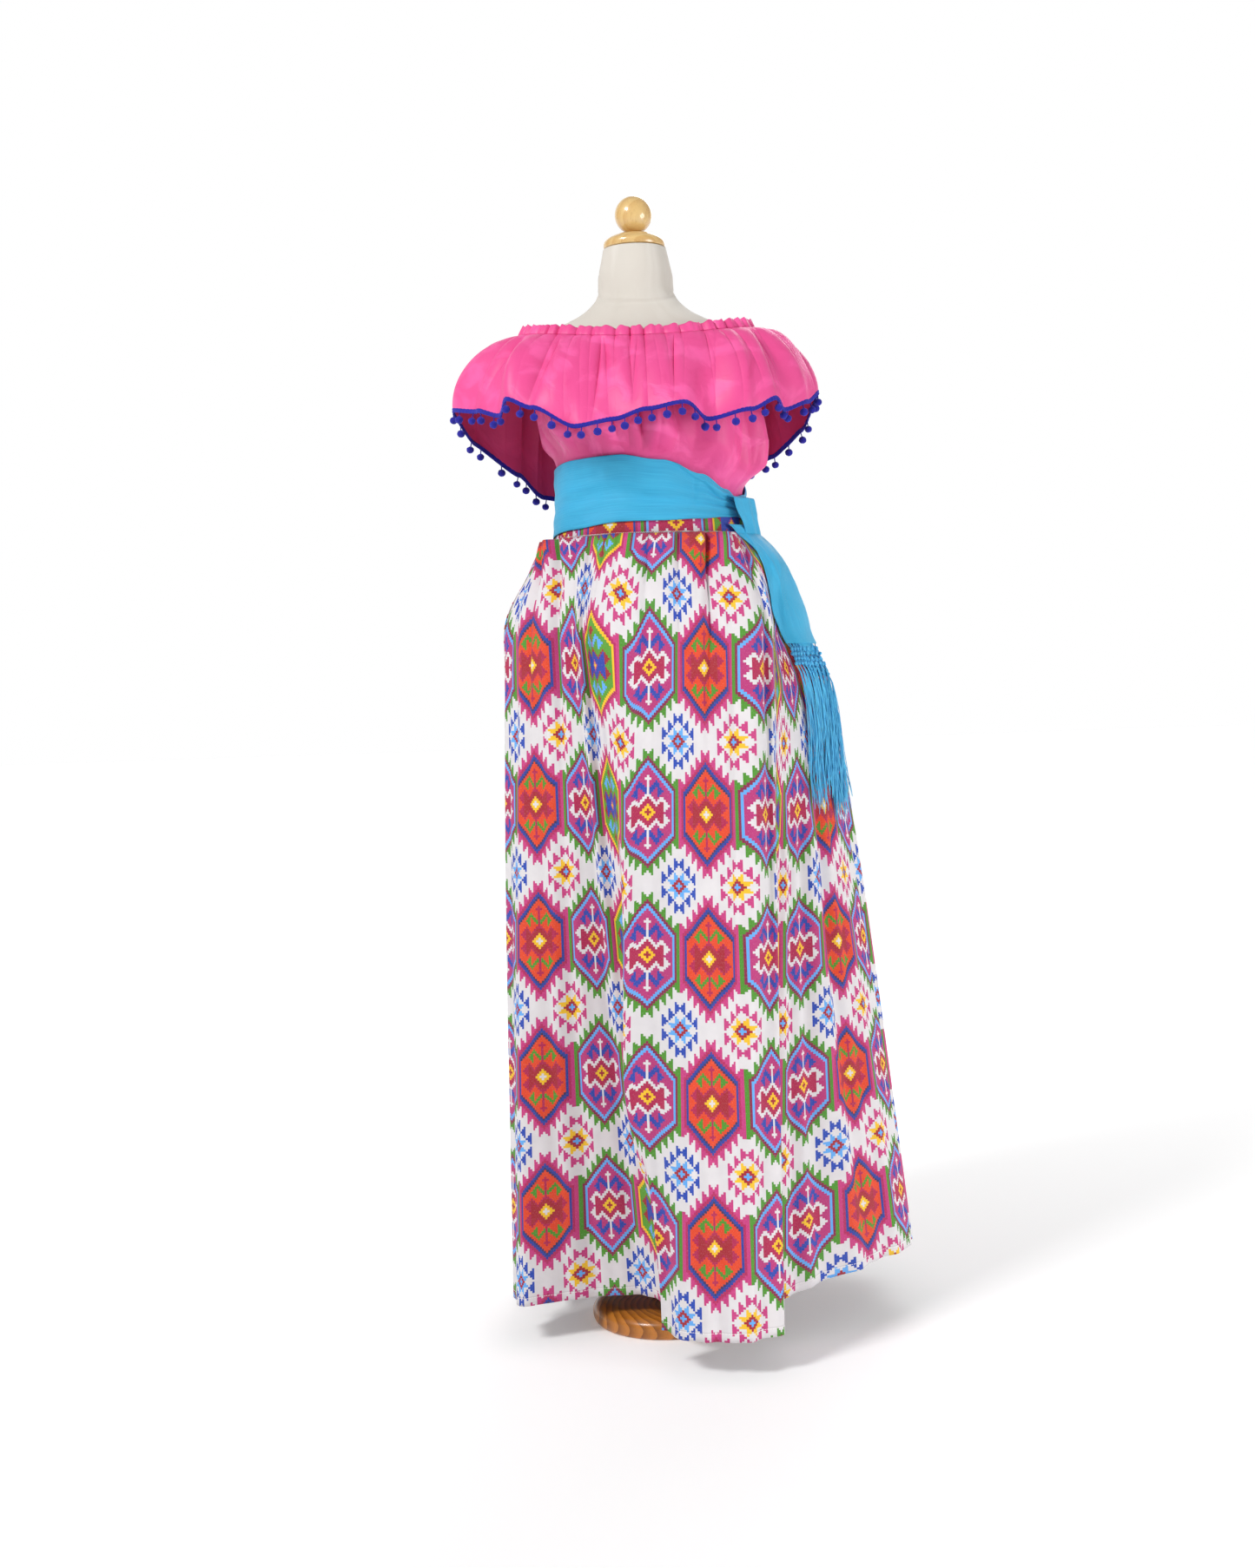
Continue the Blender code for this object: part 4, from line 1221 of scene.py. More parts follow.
@dataclass(frozen=True)
class Yarn:
    """Matt fuzzy yarn or silky thread."""

    name: str = "pompom_yarn"
    colour: tuple = (26, 22, 178)
    deep: tuple = (10, 6, 104)
    fuzz: float = 1500.0
    depth: float = 0.0007
    rough: float = 0.92
    stretch: tuple = (1.0, 1.0, 1.0)

    def material(self) -> Material:
        """Build the material on object coordinates."""
        settings = {
            "Sheen Weight": 0.55,
            "Sheen Roughness": 0.6,
            "Sheen Tint": opaque((130, 130, 255)),
        }
        made, graph, shader = start_material(self.name, settings)
        place = graph.stretched(graph.add("TexCoord").outputs["Object"], self.stretch)
        cells = graph.add("TexVoronoi", {"Vector": place, "Scale": self.fuzz}).outputs["Distance"]
        soft = graph.noise(place, self.fuzz * 0.3)
        fibres = graph.math("MULTIPLY_ADD", cells, -0.7, soft)
        shown = graph.levels(fibres, -0.25, 0.55, 0.0, 1.0)
        colour = graph.mix(shown, opaque(self.deep), opaque(self.colour))
        roughness = graph.levels(soft, 0.3, 0.7, self.rough - 0.06, min(self.rough + 0.06, 1.0))
        surface(graph, shader, colour, roughness, graph.total((fibres, self.depth)), 0.8)
        return made


@dataclass(frozen=True)
class Jersey:
    """Off-white cotton jersey with patches of painted shade, and its columns of stitches."""

    effects: Effects
    colour: tuple = (220, 215, 206)
    # The darker tone of the painted shade
    painted_shade: tuple = (204, 197, 186)
    stitches: float = 620.0
    crease_size: float = 9.0

    def material(self) -> Material:
        """Build the material on the map of the cover, in metres."""
        made, graph, shader = start_material("form_jersey", {"Sheen Weight": 0.15})
        place = graph.add("UVMap").outputs[0]
        knit, gap_shade = self.effects.woven(graph, place, self.stitches, 1.5)
        creases, worn = self.effects.creased(graph, place, self.crease_size)
        # Painted shade: where the creases' noise is high, the jersey turns to the darker tone
        painted_shade_patches = graph.levels(creases, 0.4, 0.75, 0.0, 0.7)
        colour = graph.mix(painted_shade_patches, opaque(self.colour), opaque(self.painted_shade))
        # Painted shade between the stitches
        colour = graph.shaded(gap_shade, 0.14, colour, (0.6, 0.55, 0.5))
        height = graph.total((knit, 0.00010), (creases, 0.0008))
        roughness = graph.levels(worn, 0.0, 1.0, 0.82, 0.92)
        surface(graph, shader, colour, roughness, height, 0.6)
        return made


@dataclass(frozen=True)
class VarnishedWood:
    """Turned wood under clear varnish."""

    effects: Effects
    name: str
    pale: tuple
    dark: tuple
    rings: float
    contrast: float
    tilt: tuple = (0.0, 1.45, 0.3)
    heart: tuple = (0.0, 0.03, 0.02)
    gloss: float = 0.9
    wander: float = 2.2

    def material(self) -> Material:
        """Build the material on object coordinates."""
        settings = {"Coat Weight": self.gloss, "Coat Roughness": 0.06}
        made, graph, shader = start_material(self.name, settings)
        place = graph.add("TexCoord").outputs["Object"]
        values = {"Vector": place, "Rotation": self.tilt, "Location": self.heart}
        turned_place = graph.add("Mapping", values).outputs[0]
        values = {"Place": turned_place, "Rings": self.rings, "Wander": self.wander}
        wood = graph.group(self.effects.rings, values)
        pores = wood.outputs["Pores"]
        bands = graph.levels(wood.outputs["Rings"], 0.25, 1.0, 0.0, self.contrast)
        colour = graph.mix(bands, opaque(self.pale), opaque(self.dark))
        colour = graph.shaded(pores, 0.5, colour, (0.7, 0.58, 0.45))
        cloud = graph.levels(graph.noise(place, 14.0), 0.35, 0.7, 0.0, 0.5)
        colour = graph.tinted(cloud, colour, (0.86, 0.78, 0.68))
        roughness = graph.levels(pores, 0.0, 1.0, 0.30, 0.42)
        surface(graph, shader, colour, roughness, graph.total((bands, 0.0001)), 0.4)
        return made


@dataclass(frozen=True)
class PoleSteel:
    """Plain drawn steel tube."""

    bright: tuple = (186, 187, 190)
    dull: tuple = (150, 151, 156)

    def material(self) -> Material:
        """Build the material on object coordinates."""
        made, graph, shader = start_material("pole_steel", {"Metallic": 1.0})
        place = graph.add("TexCoord").outputs["Object"]
        drawn = graph.noise(graph.stretched(place, (900, 900, 12)), 1.0)
        colour = graph.mix(drawn, opaque(self.bright), opaque(self.dull))
        roughness = graph.levels(drawn, 0.3, 0.7, 0.28, 0.40)
        surface(graph, shader, colour, roughness, graph.total((drawn, 0.00005)), 1.0)
        return made


@dataclass(frozen=True)
class DressForm:
    """The padded torso under the clothes, covered in jersey."""

    finish: Jersey
    seam_middle: float = 1.392
    seam_dip: float = 0.022
    seam_depth: float = 0.0019
    seam_width: float = 0.0020
    seam_roll: float = 0.0015
    skin: float = 0.0011
    cover_width: float = 0.84

    def _reach(self, angle: Array, z: Array) -> Array:
        """Points of the torso's skin at each angle and height."""
        half, front, back = columns_at(FORM_SECTIONS, z)
        seam = self.seam_middle - self.seam_dip * np.cos(np.radians(angle))
        groove = self.seam_depth * np.exp(-(((z - seam) / self.seam_width) ** 2))
        rolled = self.seam_roll * np.exp(-(((z - seam) / 0.0070) ** 2))
        held = 0.0006 + groove - rolled * 0.4
        return oval(angle, half - held, half - held, front - held, back - held)

    def build(self) -> None:
        """Build the torso as a smooth closed skin with a seam round the base of its neck."""
        low, high = FORM_SECTIONS[0, 0], FORM_SECTIONS[-1, 0]

        def shape(across: Array, up: Array) -> Array:
            """Points of the cover for shares round and up."""
            z = low + self.skin + (high - low - 2 * self.skin) * up
            return raised(self._reach(round_angle(across), z), z)

        cut = laid_flat(self.cover_width, high - low)
        cover = cloth_piece("dress_form_cover", (180, 240), shape, cut, wall=0.0001, closed=True)
        cover.modifiers.clear()
        mesh = bmesh.new()
        mesh.from_mesh(cover.data)
        rims = [edge for edge in mesh.edges if edge.is_boundary]
        bmesh.ops.holes_fill(mesh, edges=rims, sides=0)
        mesh.to_mesh(cover.data)
        mesh.free()
        declare(cover, "dress_form", "form_jersey", self.finish.material())


@dataclass(frozen=True)
class Stand:
    """The wooden neck cap with its ball, and the pole on its turned foot."""

    maple: VarnishedWood
    pine: VarnishedWood
    steel: PoleSteel
    cap_bottom: float = 1.4503
    cap_radius: float = 0.0415
    cap_edge: float = 0.002
    cap_side: float = 0.003
    cap_rise: float = 0.021
    ball_radius: float = 0.025
    ball_seat: float = 0.009
    pole_radius: float = 0.0125
    pole_ends: tuple = (0.0303, 0.8597)
    flange: tuple = (0.021, 0.012)
    foot_height: float = 0.030
    foot_edge: float = 0.018
    foot_radius: float = 0.103
    foot_top: float = 0.074
    foot_heel: float = 0.007

    def build(self) -> None:
        for name, profile, steps, finish, node, slot in (
            ("neck_cap_turned", self._cap(), 96, self.maple, "neck_cap", "varnished_maple"),
            ("ball_finial_turned", self._ball(), 72, self.maple, "ball_finial", "varnished_maple"),
            ("pole_tube", self._pole(), 48, self.steel, "pole", "pole_steel"),
            ("foot_turned", self._foot(), 144, self.pine, "foot", "varnished_pine"),
        ):
            declare(turned(name, profile, steps), node, slot, finish.material())

    def _cap(self) -> list[tuple[float, float]]:
        """The cap: a short upright side under a low dome, with a groove under its rim."""
        z, r = self.cap_bottom, self.cap_radius
        rise = self.cap_rise - self.cap_edge - self.cap_side
        dome = [
            (r * math.sin(turn), z + self.cap_edge + self.cap_side + rise * math.cos(turn))
            for turn in np.linspace(0.0, math.pi / 2, 28)
        ]
        side = [(r, z + self.cap_edge), (r - 0.0006, z + 0.0006), (r - 0.0022, z), (0.0, z)]
        return dome + side

    def _ball(self) -> list[tuple[float, float]]:
        """The ball with its small seat."""
        r, seat = self.ball_radius, self.ball_seat
        drop = math.sqrt(r * r - seat * seat)
        middle = self.cap_bottom + self.cap_rise + CONTACT + drop
        turns = np.linspace(0.0, math.pi - math.asin(seat / r), 44)
        globe = [(r * math.sin(turn), middle + r * math.cos(turn)) for turn in turns]
        return globe + [(0.0, middle - drop)]

    def _pole(self) -> list[tuple[float, float]]:
        """The pole with the collar that screws it to the foot."""
        low, high = self.pole_ends
        r, (wide, tall) = self.pole_radius, self.flange
        return [
            (0.0, high), (r - 0.0008, high), (r, high - 0.0008), (r, low + tall + 0.004),
            (r + 0.0012, low + tall + 0.0012), (r + 0.003, low + tall), (wide - 0.0015, low + tall),
            (wide, low + tall - 0.0015), (wide, low + 0.0004), (wide - 0.0006, low), (0.0, low),
        ]

    def _foot(self) -> list[tuple[float, float]]:
        """The foot: a flat top that rounds over into a full side, and a small heel under it."""
        r, top, high = self.foot_radius, self.foot_top, self.foot_height
        middle = self.foot_edge - 0.006
        shoulder = [
            (
                top + (r - top) * math.sin(turn) ** 0.9,
                middle + (high - 0.0003 - middle) * math.cos(turn) ** 0.75,
            )
            for turn in np.linspace(0.0, math.pi / 2, 22)
        ]
        heel = [
            (r - self.foot_heel * (1.0 - math.cos(turn)), middle - middle * math.sin(turn))
            for turn in np.linspace(0.0, math.pi / 2, 10)[1:]
        ]
        flat = [(0.0, high), (top * 0.5, high), (top - 0.003, high)]
        return flat + shoulder + heel + [(0.0, 0.0)]


@dataclass(frozen=True)
class Blouse:
    """The blouse's loose body under the flounce: a front and a back panel."""

    outside: Material
    inside: Material
    segments: tuple = (300, 150)
    tucked_share: float = 0.22
    width: float = 0.50
    length: float = 0.33
    cut_share: float = 0.86
    spring: float = 0.040
    folds: int = 12
    fold: float = 0.0045
    pleat: float = 0.0070
    slanted_fold: float = 0.0085
    behind_casing: float = 0.0060
    joining_level: float = 1.262
    armhole_narrowing: float = 28.0

    def build(self) -> None:
        """Build and declare both panels."""
        self._build_panel("front", 0.0)
        self._build_panel("back", 180.0)

    def _build_panel(self, side: str, middle: float) -> None:
        """The panel of one side, whose middle is at an angle."""
        panel = cloth_piece(
            f"blouse_{side}_panel",
            self.segments,
            lambda across, up: self._points(middle, across, up),
            laid_flat(self.width, self.length),
            inner_slot=1,
        )
        declare(panel, f"blouse_{side}", "pink_satin", self.outside, self.inside)

    def _height(self, angle: Array, up: Array) -> Array:
        """Heights of the panel for shares up from its hem, which is tucked into the skirt."""
        top = neckline_height(angle) - RIM_GAP
        drawn_in = sash_edge(2, angle) + RIM_GAP
        below = BLOUSE_HEM + (drawn_in - BLOUSE_HEM) * up / self.tucked_share
        above = drawn_in + (top - drawn_in) * (up - self.tucked_share) / (1.0 - self.tucked_share)
        return np.where(up < self.tucked_share, below, above)

    def _points(self, middle: float, across: Array, up: Array) -> Array:
        """Points of a panel: gathered at the neckline, cut back for the arms, drawn in below."""
        seam = math.degrees(SEAM_GAP / 2 / WAIST_SECTIONS[1, 1])
        share = 2.0 * across - 1.0
        z = self._height(middle + share * (90.0 - seam), up)
        cut_back = np.clip((z - ARMHOLE_BOTTOM) / (NECKLINE_FRONT - ARMHOLE_BOTTOM), 0.0, 1.0)
        angle = middle + share * (90.0 - seam - self.armhole_narrowing * np.sqrt(cut_back))
        z = np.where(cut_back > 0.0, self._height(angle, up), z)
        slack = 1.0 - np.abs(share) ** 6
        over = np.clip((z - (sash_edge(2, angle) + RIM_GAP)) / self.spring, 0.0, None)
        fold = self._fold_out(angle, z, over) * slack
        rise = smooth(over)[..., None]
        loose = oval(angle, *columns_at(BLOUSE_SECTIONS, z)) + outward(angle) * fold[..., None]
        body = at_waist(angle, z, 0) * (1.0 - rise) + loose * rise
        joined = (z - self.joining_level) / (neckline_height(angle) - self.joining_level)
        joined = smooth(joined)[..., None]
        at_casing = neckline_point(angle, -self.behind_casing)
        return raised(body * (1.0 - joined) + at_casing * joined, z)

    def _fold_out(self, angle: Array, z: Array, over: Array) -> Array:
        """How far upright folds, pleats over the sash and slanted folds stand out together."""
        turn = np.radians(angle)
        fold = 1.8 * self.fold * np.sin(self.folds * turn + 2.0 * (z - 1.2)) * uneven(angle)
        pleats = rounded((41 * turn + 1.1 * np.sin(5 * turn)) / math.tau)
        pleats = pleats * (0.6 + 0.4 * np.sin(7 * turn + 1.0))
        fold = fold + self.pleat * pleats * np.exp(-over / 1.3)
        slanted = 2.0 * rounded((19 * turn + 26.0 * (z - 1.2) + np.sin(6 * turn)) / math.tau) - 1.2
        slanted = self.slanted_fold * slanted * (0.5 + 0.5 * np.sin(4 * turn + 2.0))
        return fold + slanted * smooth(over)


@dataclass(frozen=True)
class Flounce:
    """The gathered elastic casing round the neckline and the two halves of the deep flounce."""

    outside: Material
    inside: Material
    swell: float = 0.60
    puffs: tuple = (0.003, 0.020)
    least_puff: float = 0.0012
    gather: float = 0.0105
    fine_gather: float = 0.0007
    lift: float = 0.012
    # Waves round, shift, slant, depth and reach down of each row of soft folds
    folds: tuple = (
        (17, 0.0, 1.5, 0.0105, 0.95), (29, 1.3, -1.2, 0.0055, 0.60), (11, 2.1, 0.8, 0.0120, 1.3),
    )
    casing_height: float = 0.012
    casing_puff: float = 0.0002
    casing_lean: float = 0.0065
    casing_scallop: float = 0.0010
    segments: tuple = (680, 60)
    casing_cut: float = 1.2
    half_width: float = 0.64
    length: float = 0.142

    def point(self, angle: Array, share: Array) -> Array:
        """Points of the flounce from the neckline (0) over the shoulder to its fluted hem (1)."""
        reach, low = round_body(FLOUNCE_HEM, 1, angle), round_body(FLOUNCE_HEM, 2, angle)
        turn = np.radians(angle)
        high = neckline_height(angle) - CONTACT
        side = np.sin(turn) ** 2
        out = (1.0 - (1.0 - share) ** (1.25 + self.swell * side))[..., None]
        flat = neckline_point(angle) * (1.0 - out) + outward(angle) * reach[..., None] * out
        lift = self.lift * (0.35 + 0.65 * side) * np.sin(math.pi * share**0.8)
        puff = np.where(turn > 0.0, self.puffs[1], self.puffs[0]) * side * side + self.least_puff
        ripple = self.ridges(turn, share)
        ripple = ripple + puff * (1.0 - np.exp(-share / 0.04)) * np.exp(-share / 0.28)
        held = np.sin(math.pi * np.clip(share, 0.0, 1.0)) ** 0.7
        for waves, shift, slant, depth, reach_down in self.folds:
            place = waves * turn + shift + slant * share + 1.4 * np.sin(3 * turn + shift)
            crest = 2.0 * rounded(place / math.tau) - 1.3
            size = 0.55 + 0.45 * np.sin(5 * turn + 2.0 * shift)
            fade = np.exp(-((share / reach_down) ** 2))
            ripple = ripple + depth * crest * size * held * fade
        return raised(flat + outward(angle) * ripple[..., None], high + (low - high) * share + lift)

    def ridges(self, turn: Array, share: Array) -> Array:
        """Round ridges of the gathers, with sharp valleys between them, dying out downwards."""
        place = NECK_GATHERS / 2 * turn + 0.55 * np.sin(7 * turn) + 0.35 * np.sin(16 * turn + 1.0)
        ridge = np.sqrt(np.abs(np.cos(place)) + 0.02) - 0.72
        fine = np.sin(103 * turn + 2.0 * np.sin(9 * turn)) * (0.6 + 0.4 * np.sin(13 * turn))
        reach = 0.34 + 0.17 * np.sin(11 * turn + 0.5) + 0.08 * np.sin(27 * turn)
        size = 0.8 + 0.2 * np.sin(9 * turn + 2.0)
        deep = self.gather * size * ridge * np.exp(-share / reach)
        return deep + self.fine_gather * fine * np.exp(-share / 0.1)

    def build(self) -> None:
        casing = cloth_piece(
            "neck_casing_gathered",
            (960, 12),
            self._casing,
            laid_flat(self.casing_cut, self.casing_height),
            closed=True,
            inner_slot=1,
        )
        declare(casing, "neck_casing", "pink_satin", self.outside, self.inside)
        self._build_half("front", -90.0)
        self._build_half("back", 90.0)

    def _build_half(self, side: str, first: float) -> None:
        """One half of the flounce, from the angle of its first seam to that of its second."""
        half = cloth_piece(
            f"flounce_{side}_half",
            self.segments,
            lambda across, up: self.point(
                first + NECK_SEAM + (180.0 - 2 * NECK_SEAM) * across, 1.0 - up
            ),
            laid_flat(self.half_width, self.length),
            inner_slot=1,
        )
        declare(half, f"flounce_{side}", "pink_satin", self.outside, self.inside)

    def _casing(self, across: Array, up: Array) -> Array:
        """Points of the casing, tightly gathered by its elastic."""
        angle = round_angle(across)
        turn = np.radians(angle)
        crest = self.ridges(turn, np.zeros_like(turn))
        swell = crest * (1.0 - 0.25 * np.sin(math.pi * up))
        swell = swell + self.casing_puff * np.sin(math.pi * up) - self.casing_lean * up**1.5
        flat = neckline_point(angle) + outward(angle) * swell[..., None]
        scallop = 0.42 * crest + self.casing_scallop * np.sin(61 * turn + 2.0 * np.sin(9 * turn))
        return raised(flat, neckline_height(angle) + (self.casing_height + scallop) * up)


@dataclass(frozen=True)
class PompomBraid:
    """Yarn braid along the flounce's hem, with pompoms that hang from it on short stems."""

    finish: Material
    flounce: Flounce
    count: int = 31
    lap: float = 0.0020
    width: float = 0.0062
    wall: float = 0.0030
    drop: float = 0.0095
    radius: float = 0.0052
    lean: float = 0.0012
    stem: float = 0.0008
    fluff: float = 0.09
    look_back: float = 0.9

    def build(self) -> None:
        for side, first, seed in (("front", -90.0, 0.0), ("back", 90.0, 2.0)):
            mesh = bmesh.new()
            self._braid(mesh, first)
            self._pompoms(mesh, first, seed)
            bmesh.ops.recalc_face_normals(mesh, faces=mesh.faces)
            trim = solid_piece(f"pompom_braid_{side}_trim", mesh, sharp=80.0)
            declare(trim, f"pompom_braid_{side}", "pompom_yarn", self.finish)

    def _edge(self, angle: Array) -> tuple[Array, Array]:
        """The braid's top edge, and the way that the flounce's cloth runs down there."""
        edge = self.flounce.point(angle, np.ones_like(angle))
        above = self.flounce.point(angle, np.full_like(angle, self.look_back))
        down = (edge - above) / np.linalg.norm(edge - above, axis=1)[:, None]
        return edge - down * self.lap, down

    def _along(self, first: float, steps: int) -> Array:
        """Angles along the braid of one half, from seam to seam."""
        return np.linspace(first + NECK_SEAM, first + 180.0 - NECK_SEAM, steps + 1)

    def _braid(self, mesh: Mesh, first: float) -> None:
        """Add the braid: two plaited cords side by side, as a ribbed band."""
        angle = self._along(first, self.count * 16)
        top, down = self._edge(angle)
        out = raised(outward(angle), np.zeros_like(angle))
        place = np.linspace(0.0, self.count * 4.0, len(angle))
        rings = []
        for across, side, phase in CORD_OUTLINE:
            plait = 0.75 + 0.35 * np.abs(np.sin(math.pi * (place + phase)))
            half = (side * self.wall / 2 * plait)[:, None]
            rings.append(top + down * self.width * across + out * half)
        rows = [[mesh.verts.new(point) for point in ring] for ring in rings]
        for before, after in zip(rows, rows[1:] + rows[:1]):
            for k in range(len(angle) - 1):
                mesh.faces.new((before[k], before[k + 1], after[k + 1], after[k]))
        mesh.faces.new([row[0] for row in rows])
        mesh.faces.new([row[-1] for row in rows][::-1])

    def _pompoms(self, mesh: Mesh, first: float, seed: float) -> None:
        """Add the pompoms, each with an uneven fluffy outline, and their stems."""
        ends = self._along(first, self.count * 2)
        angle = (ends[0:-1:2] + ends[1::2]) / 2
        top, down = self._edge(angle)
        hung = top + down * self.width
        squash = np.array([1.0, 1.0, 0.94])
        for k, place in enumerate(hung):
            out = np.array([*outward(angle[k : k + 1])[0], 0.0]) * self.lean * (k % 3)
            ball = place + out - np.array([0.0, 0.0, self.drop])
            stem = np.array([place + down[k] * -self.stem, (place + ball) / 2 + out * 0.1, ball])
            strand(mesh, stem, self.stem, CORD_SIDES)
            made = bmesh.ops.create_icosphere(mesh, subdivisions=3, radius=1.0)["verts"]
            size = self.radius * (1.0 + 0.05 * math.sin(2.3 * k + seed))
            for corner in made:
                way = np.array(corner.co)
                fluff = math.sin(23 * way[0] + k + seed) * math.sin(19 * way[1] + 2 * k)
                fluff = fluff * math.sin(21 * way[2] + 3 * k)
                corner.co = Vector(ball + way * squash * size * (1.0 + self.fluff * fluff))


@dataclass(frozen=True)
class Skirt:
    """The waistband, and the front and back of the long skirt gathered to it."""

    finish: Material
    segments: tuple = (380, 124)
    gather: float = 0.0240
    gather_fade: float = 0.170
    seam_gap: float = 0.0012
    fold: float = 0.0052
    length: float = 1.012
    band_start: float = 1.893
    band_width: float = 0.77
    tail_span: tuple = (5.0, 0.7, 10.6, 0.6)
    tail_end: float = 0.42
    tail_fade: float = 0.08

    def build(self) -> None:
        band_height = WAISTBAND_TOP - WAIST_SEAM
        band = cloth_piece(
            "waistband_band",
            (240, 12),
            self._band,
            laid_flat(self.band_width, band_height, self.band_start, COLUMN_WIDTH),
            closed=True,
            edges=laid_flat(self.band_width, band_height, WAIST_EDGE),
        )
        declare(band, "waistband", "printed_cotton", self.finish)
        self._build_panel("front", SIDE_SEAMS[0])
        self._build_panel("back", SIDE_SEAMS[1])

    def _build_panel(self, side: str, first: float) -> None:
        """One panel of the skirt, from the print column of its first seam."""
        short = self.seam_gap / 2 / COLUMN_WIDTH
        columns = COLUMNS_ROUND / 2

        def width(across: Array) -> Array:
            """Print columns for shares across the panel."""
            return first + short + (columns - 2 * short) * across

        panel = cloth_piece(
            f"skirt_{side}_panel",
            self.segments,
            lambda across, up: self.point(width(across), 1.0 - up),
            lambda across, up: self._cut(width(across), 1.0 - up, True),
            edges=lambda across, up: self._cut(width(across), 1.0 - up, False),
        )
        declare(panel, f"skirt_{side}", "printed_cotton", self.finish)

    def _band(self, across: Array, up: Array) -> Array:
        """Points of the waistband, slightly puckered at its seam."""
        angle = round_angle(across)
        z = WAIST_SEAM + (WAISTBAND_TOP - WAIST_SEAM) * up
        pucker = 0.0002 * np.sin(44 * np.radians(angle) + 1.0) * (1.0 - up)
        return raised(at_waist(angle, z, 1) + outward(angle) * pucker[..., None], z)

    def lift(self, width: Array, share: Array) -> Array:
        """How far gathers and soft folds stand out from the skirt's main form."""
        under_tail = between(width, *self.tail_span)
        under_tail = under_tail * smooth((self.tail_end - share) / self.tail_fade)
        drawn = 1.15 * width + 0.26 * np.sin(1.9 * width) + 0.18 * np.sin(6.0 * share + 1.3 * width)
        quick = 2.9 * width + 0.35 * np.sin(2.7 * width + 1.0)
        uneven_size = 0.75 + 0.25 * np.sin(3.1 * width + 0.6)
        below_band = smooth(share / 0.06)
        slow = rounded(drawn) - 0.70 * below_band * (1.0 - under_tail)
        slow = slow * np.exp(-share / self.gather_fade)
        tight = rounded(quick) * np.exp(-share / (0.35 * self.gather_fade))
        gathers = self.gather * (slow + 0.30 * tight) * uneven_size * (1.0 - 0.85 * under_tail)
        drift = 0.25 * np.sin(3.0 * share + 0.9 * width)
        soft = wander((width + drift) * 0.95, (0.3, 1.9, 4.0))
        soft = soft + 0.5 * wander(width * 2.1 + drift, (2.2, 0.4))
        grown = smooth(share / 0.22) * (1.0 - 0.8 * under_tail)
        return gathers + self.fold * soft * grown

    def point(self, width: Array, share: Array) -> Array:
        """Points of the skirt from the waistband (0) to the hem (1)."""
        points = skirt_point(width, share, self.lift(width, share), np.zeros_like(width))
        points[..., 2] -= RIM_GAP * (1.0 - share)
        return points

    def _cut(self, width: Array, share: Array, printed: bool) -> Array:
        """Places on the flat cloth.

        Args:
            width: places across, in columns of the print.
            share: places down.
            printed: True for columns and heights of the print, False for metres from the hem.

        Returns:
            The places.
        """
        rows = self.segments[1] + 1
        lines = np.unique(np.round(width, 9))
        widths, shares = np.meshgrid(lines, np.linspace(0.0, 1.0, rows), indexing="ij")
        level = np.zeros_like(widths)
        points = skirt_point(widths, shares, level, level)
        steps = np.linalg.norm(np.diff(points, axis=1), axis=2)
        climbed = np.cumsum(steps[:, ::-1], axis=1)[:, ::-1]
        above_hem = np.concatenate([climbed, np.zeros((len(lines), 1))], axis=1)
        line = np.searchsorted(lines, np.round(width, 9))
        row = np.clip(np.round(share * (rows - 1)).astype(int), 0, rows - 1)
        up = above_hem[np.clip(line, 0, len(lines) - 1), row]
        if not printed:
            return np.stack([width * COLUMN_WIDTH, up], axis=-1)
        slant, *drawn_up = columns_at(PRINT_SLANT, width)
        up = up + slant
        for amount, reach in zip(drawn_up, DRAWN_UP):
            up = up - amount * np.exp(-((share / reach) ** 2))
        return np.stack([width, up], axis=-1)


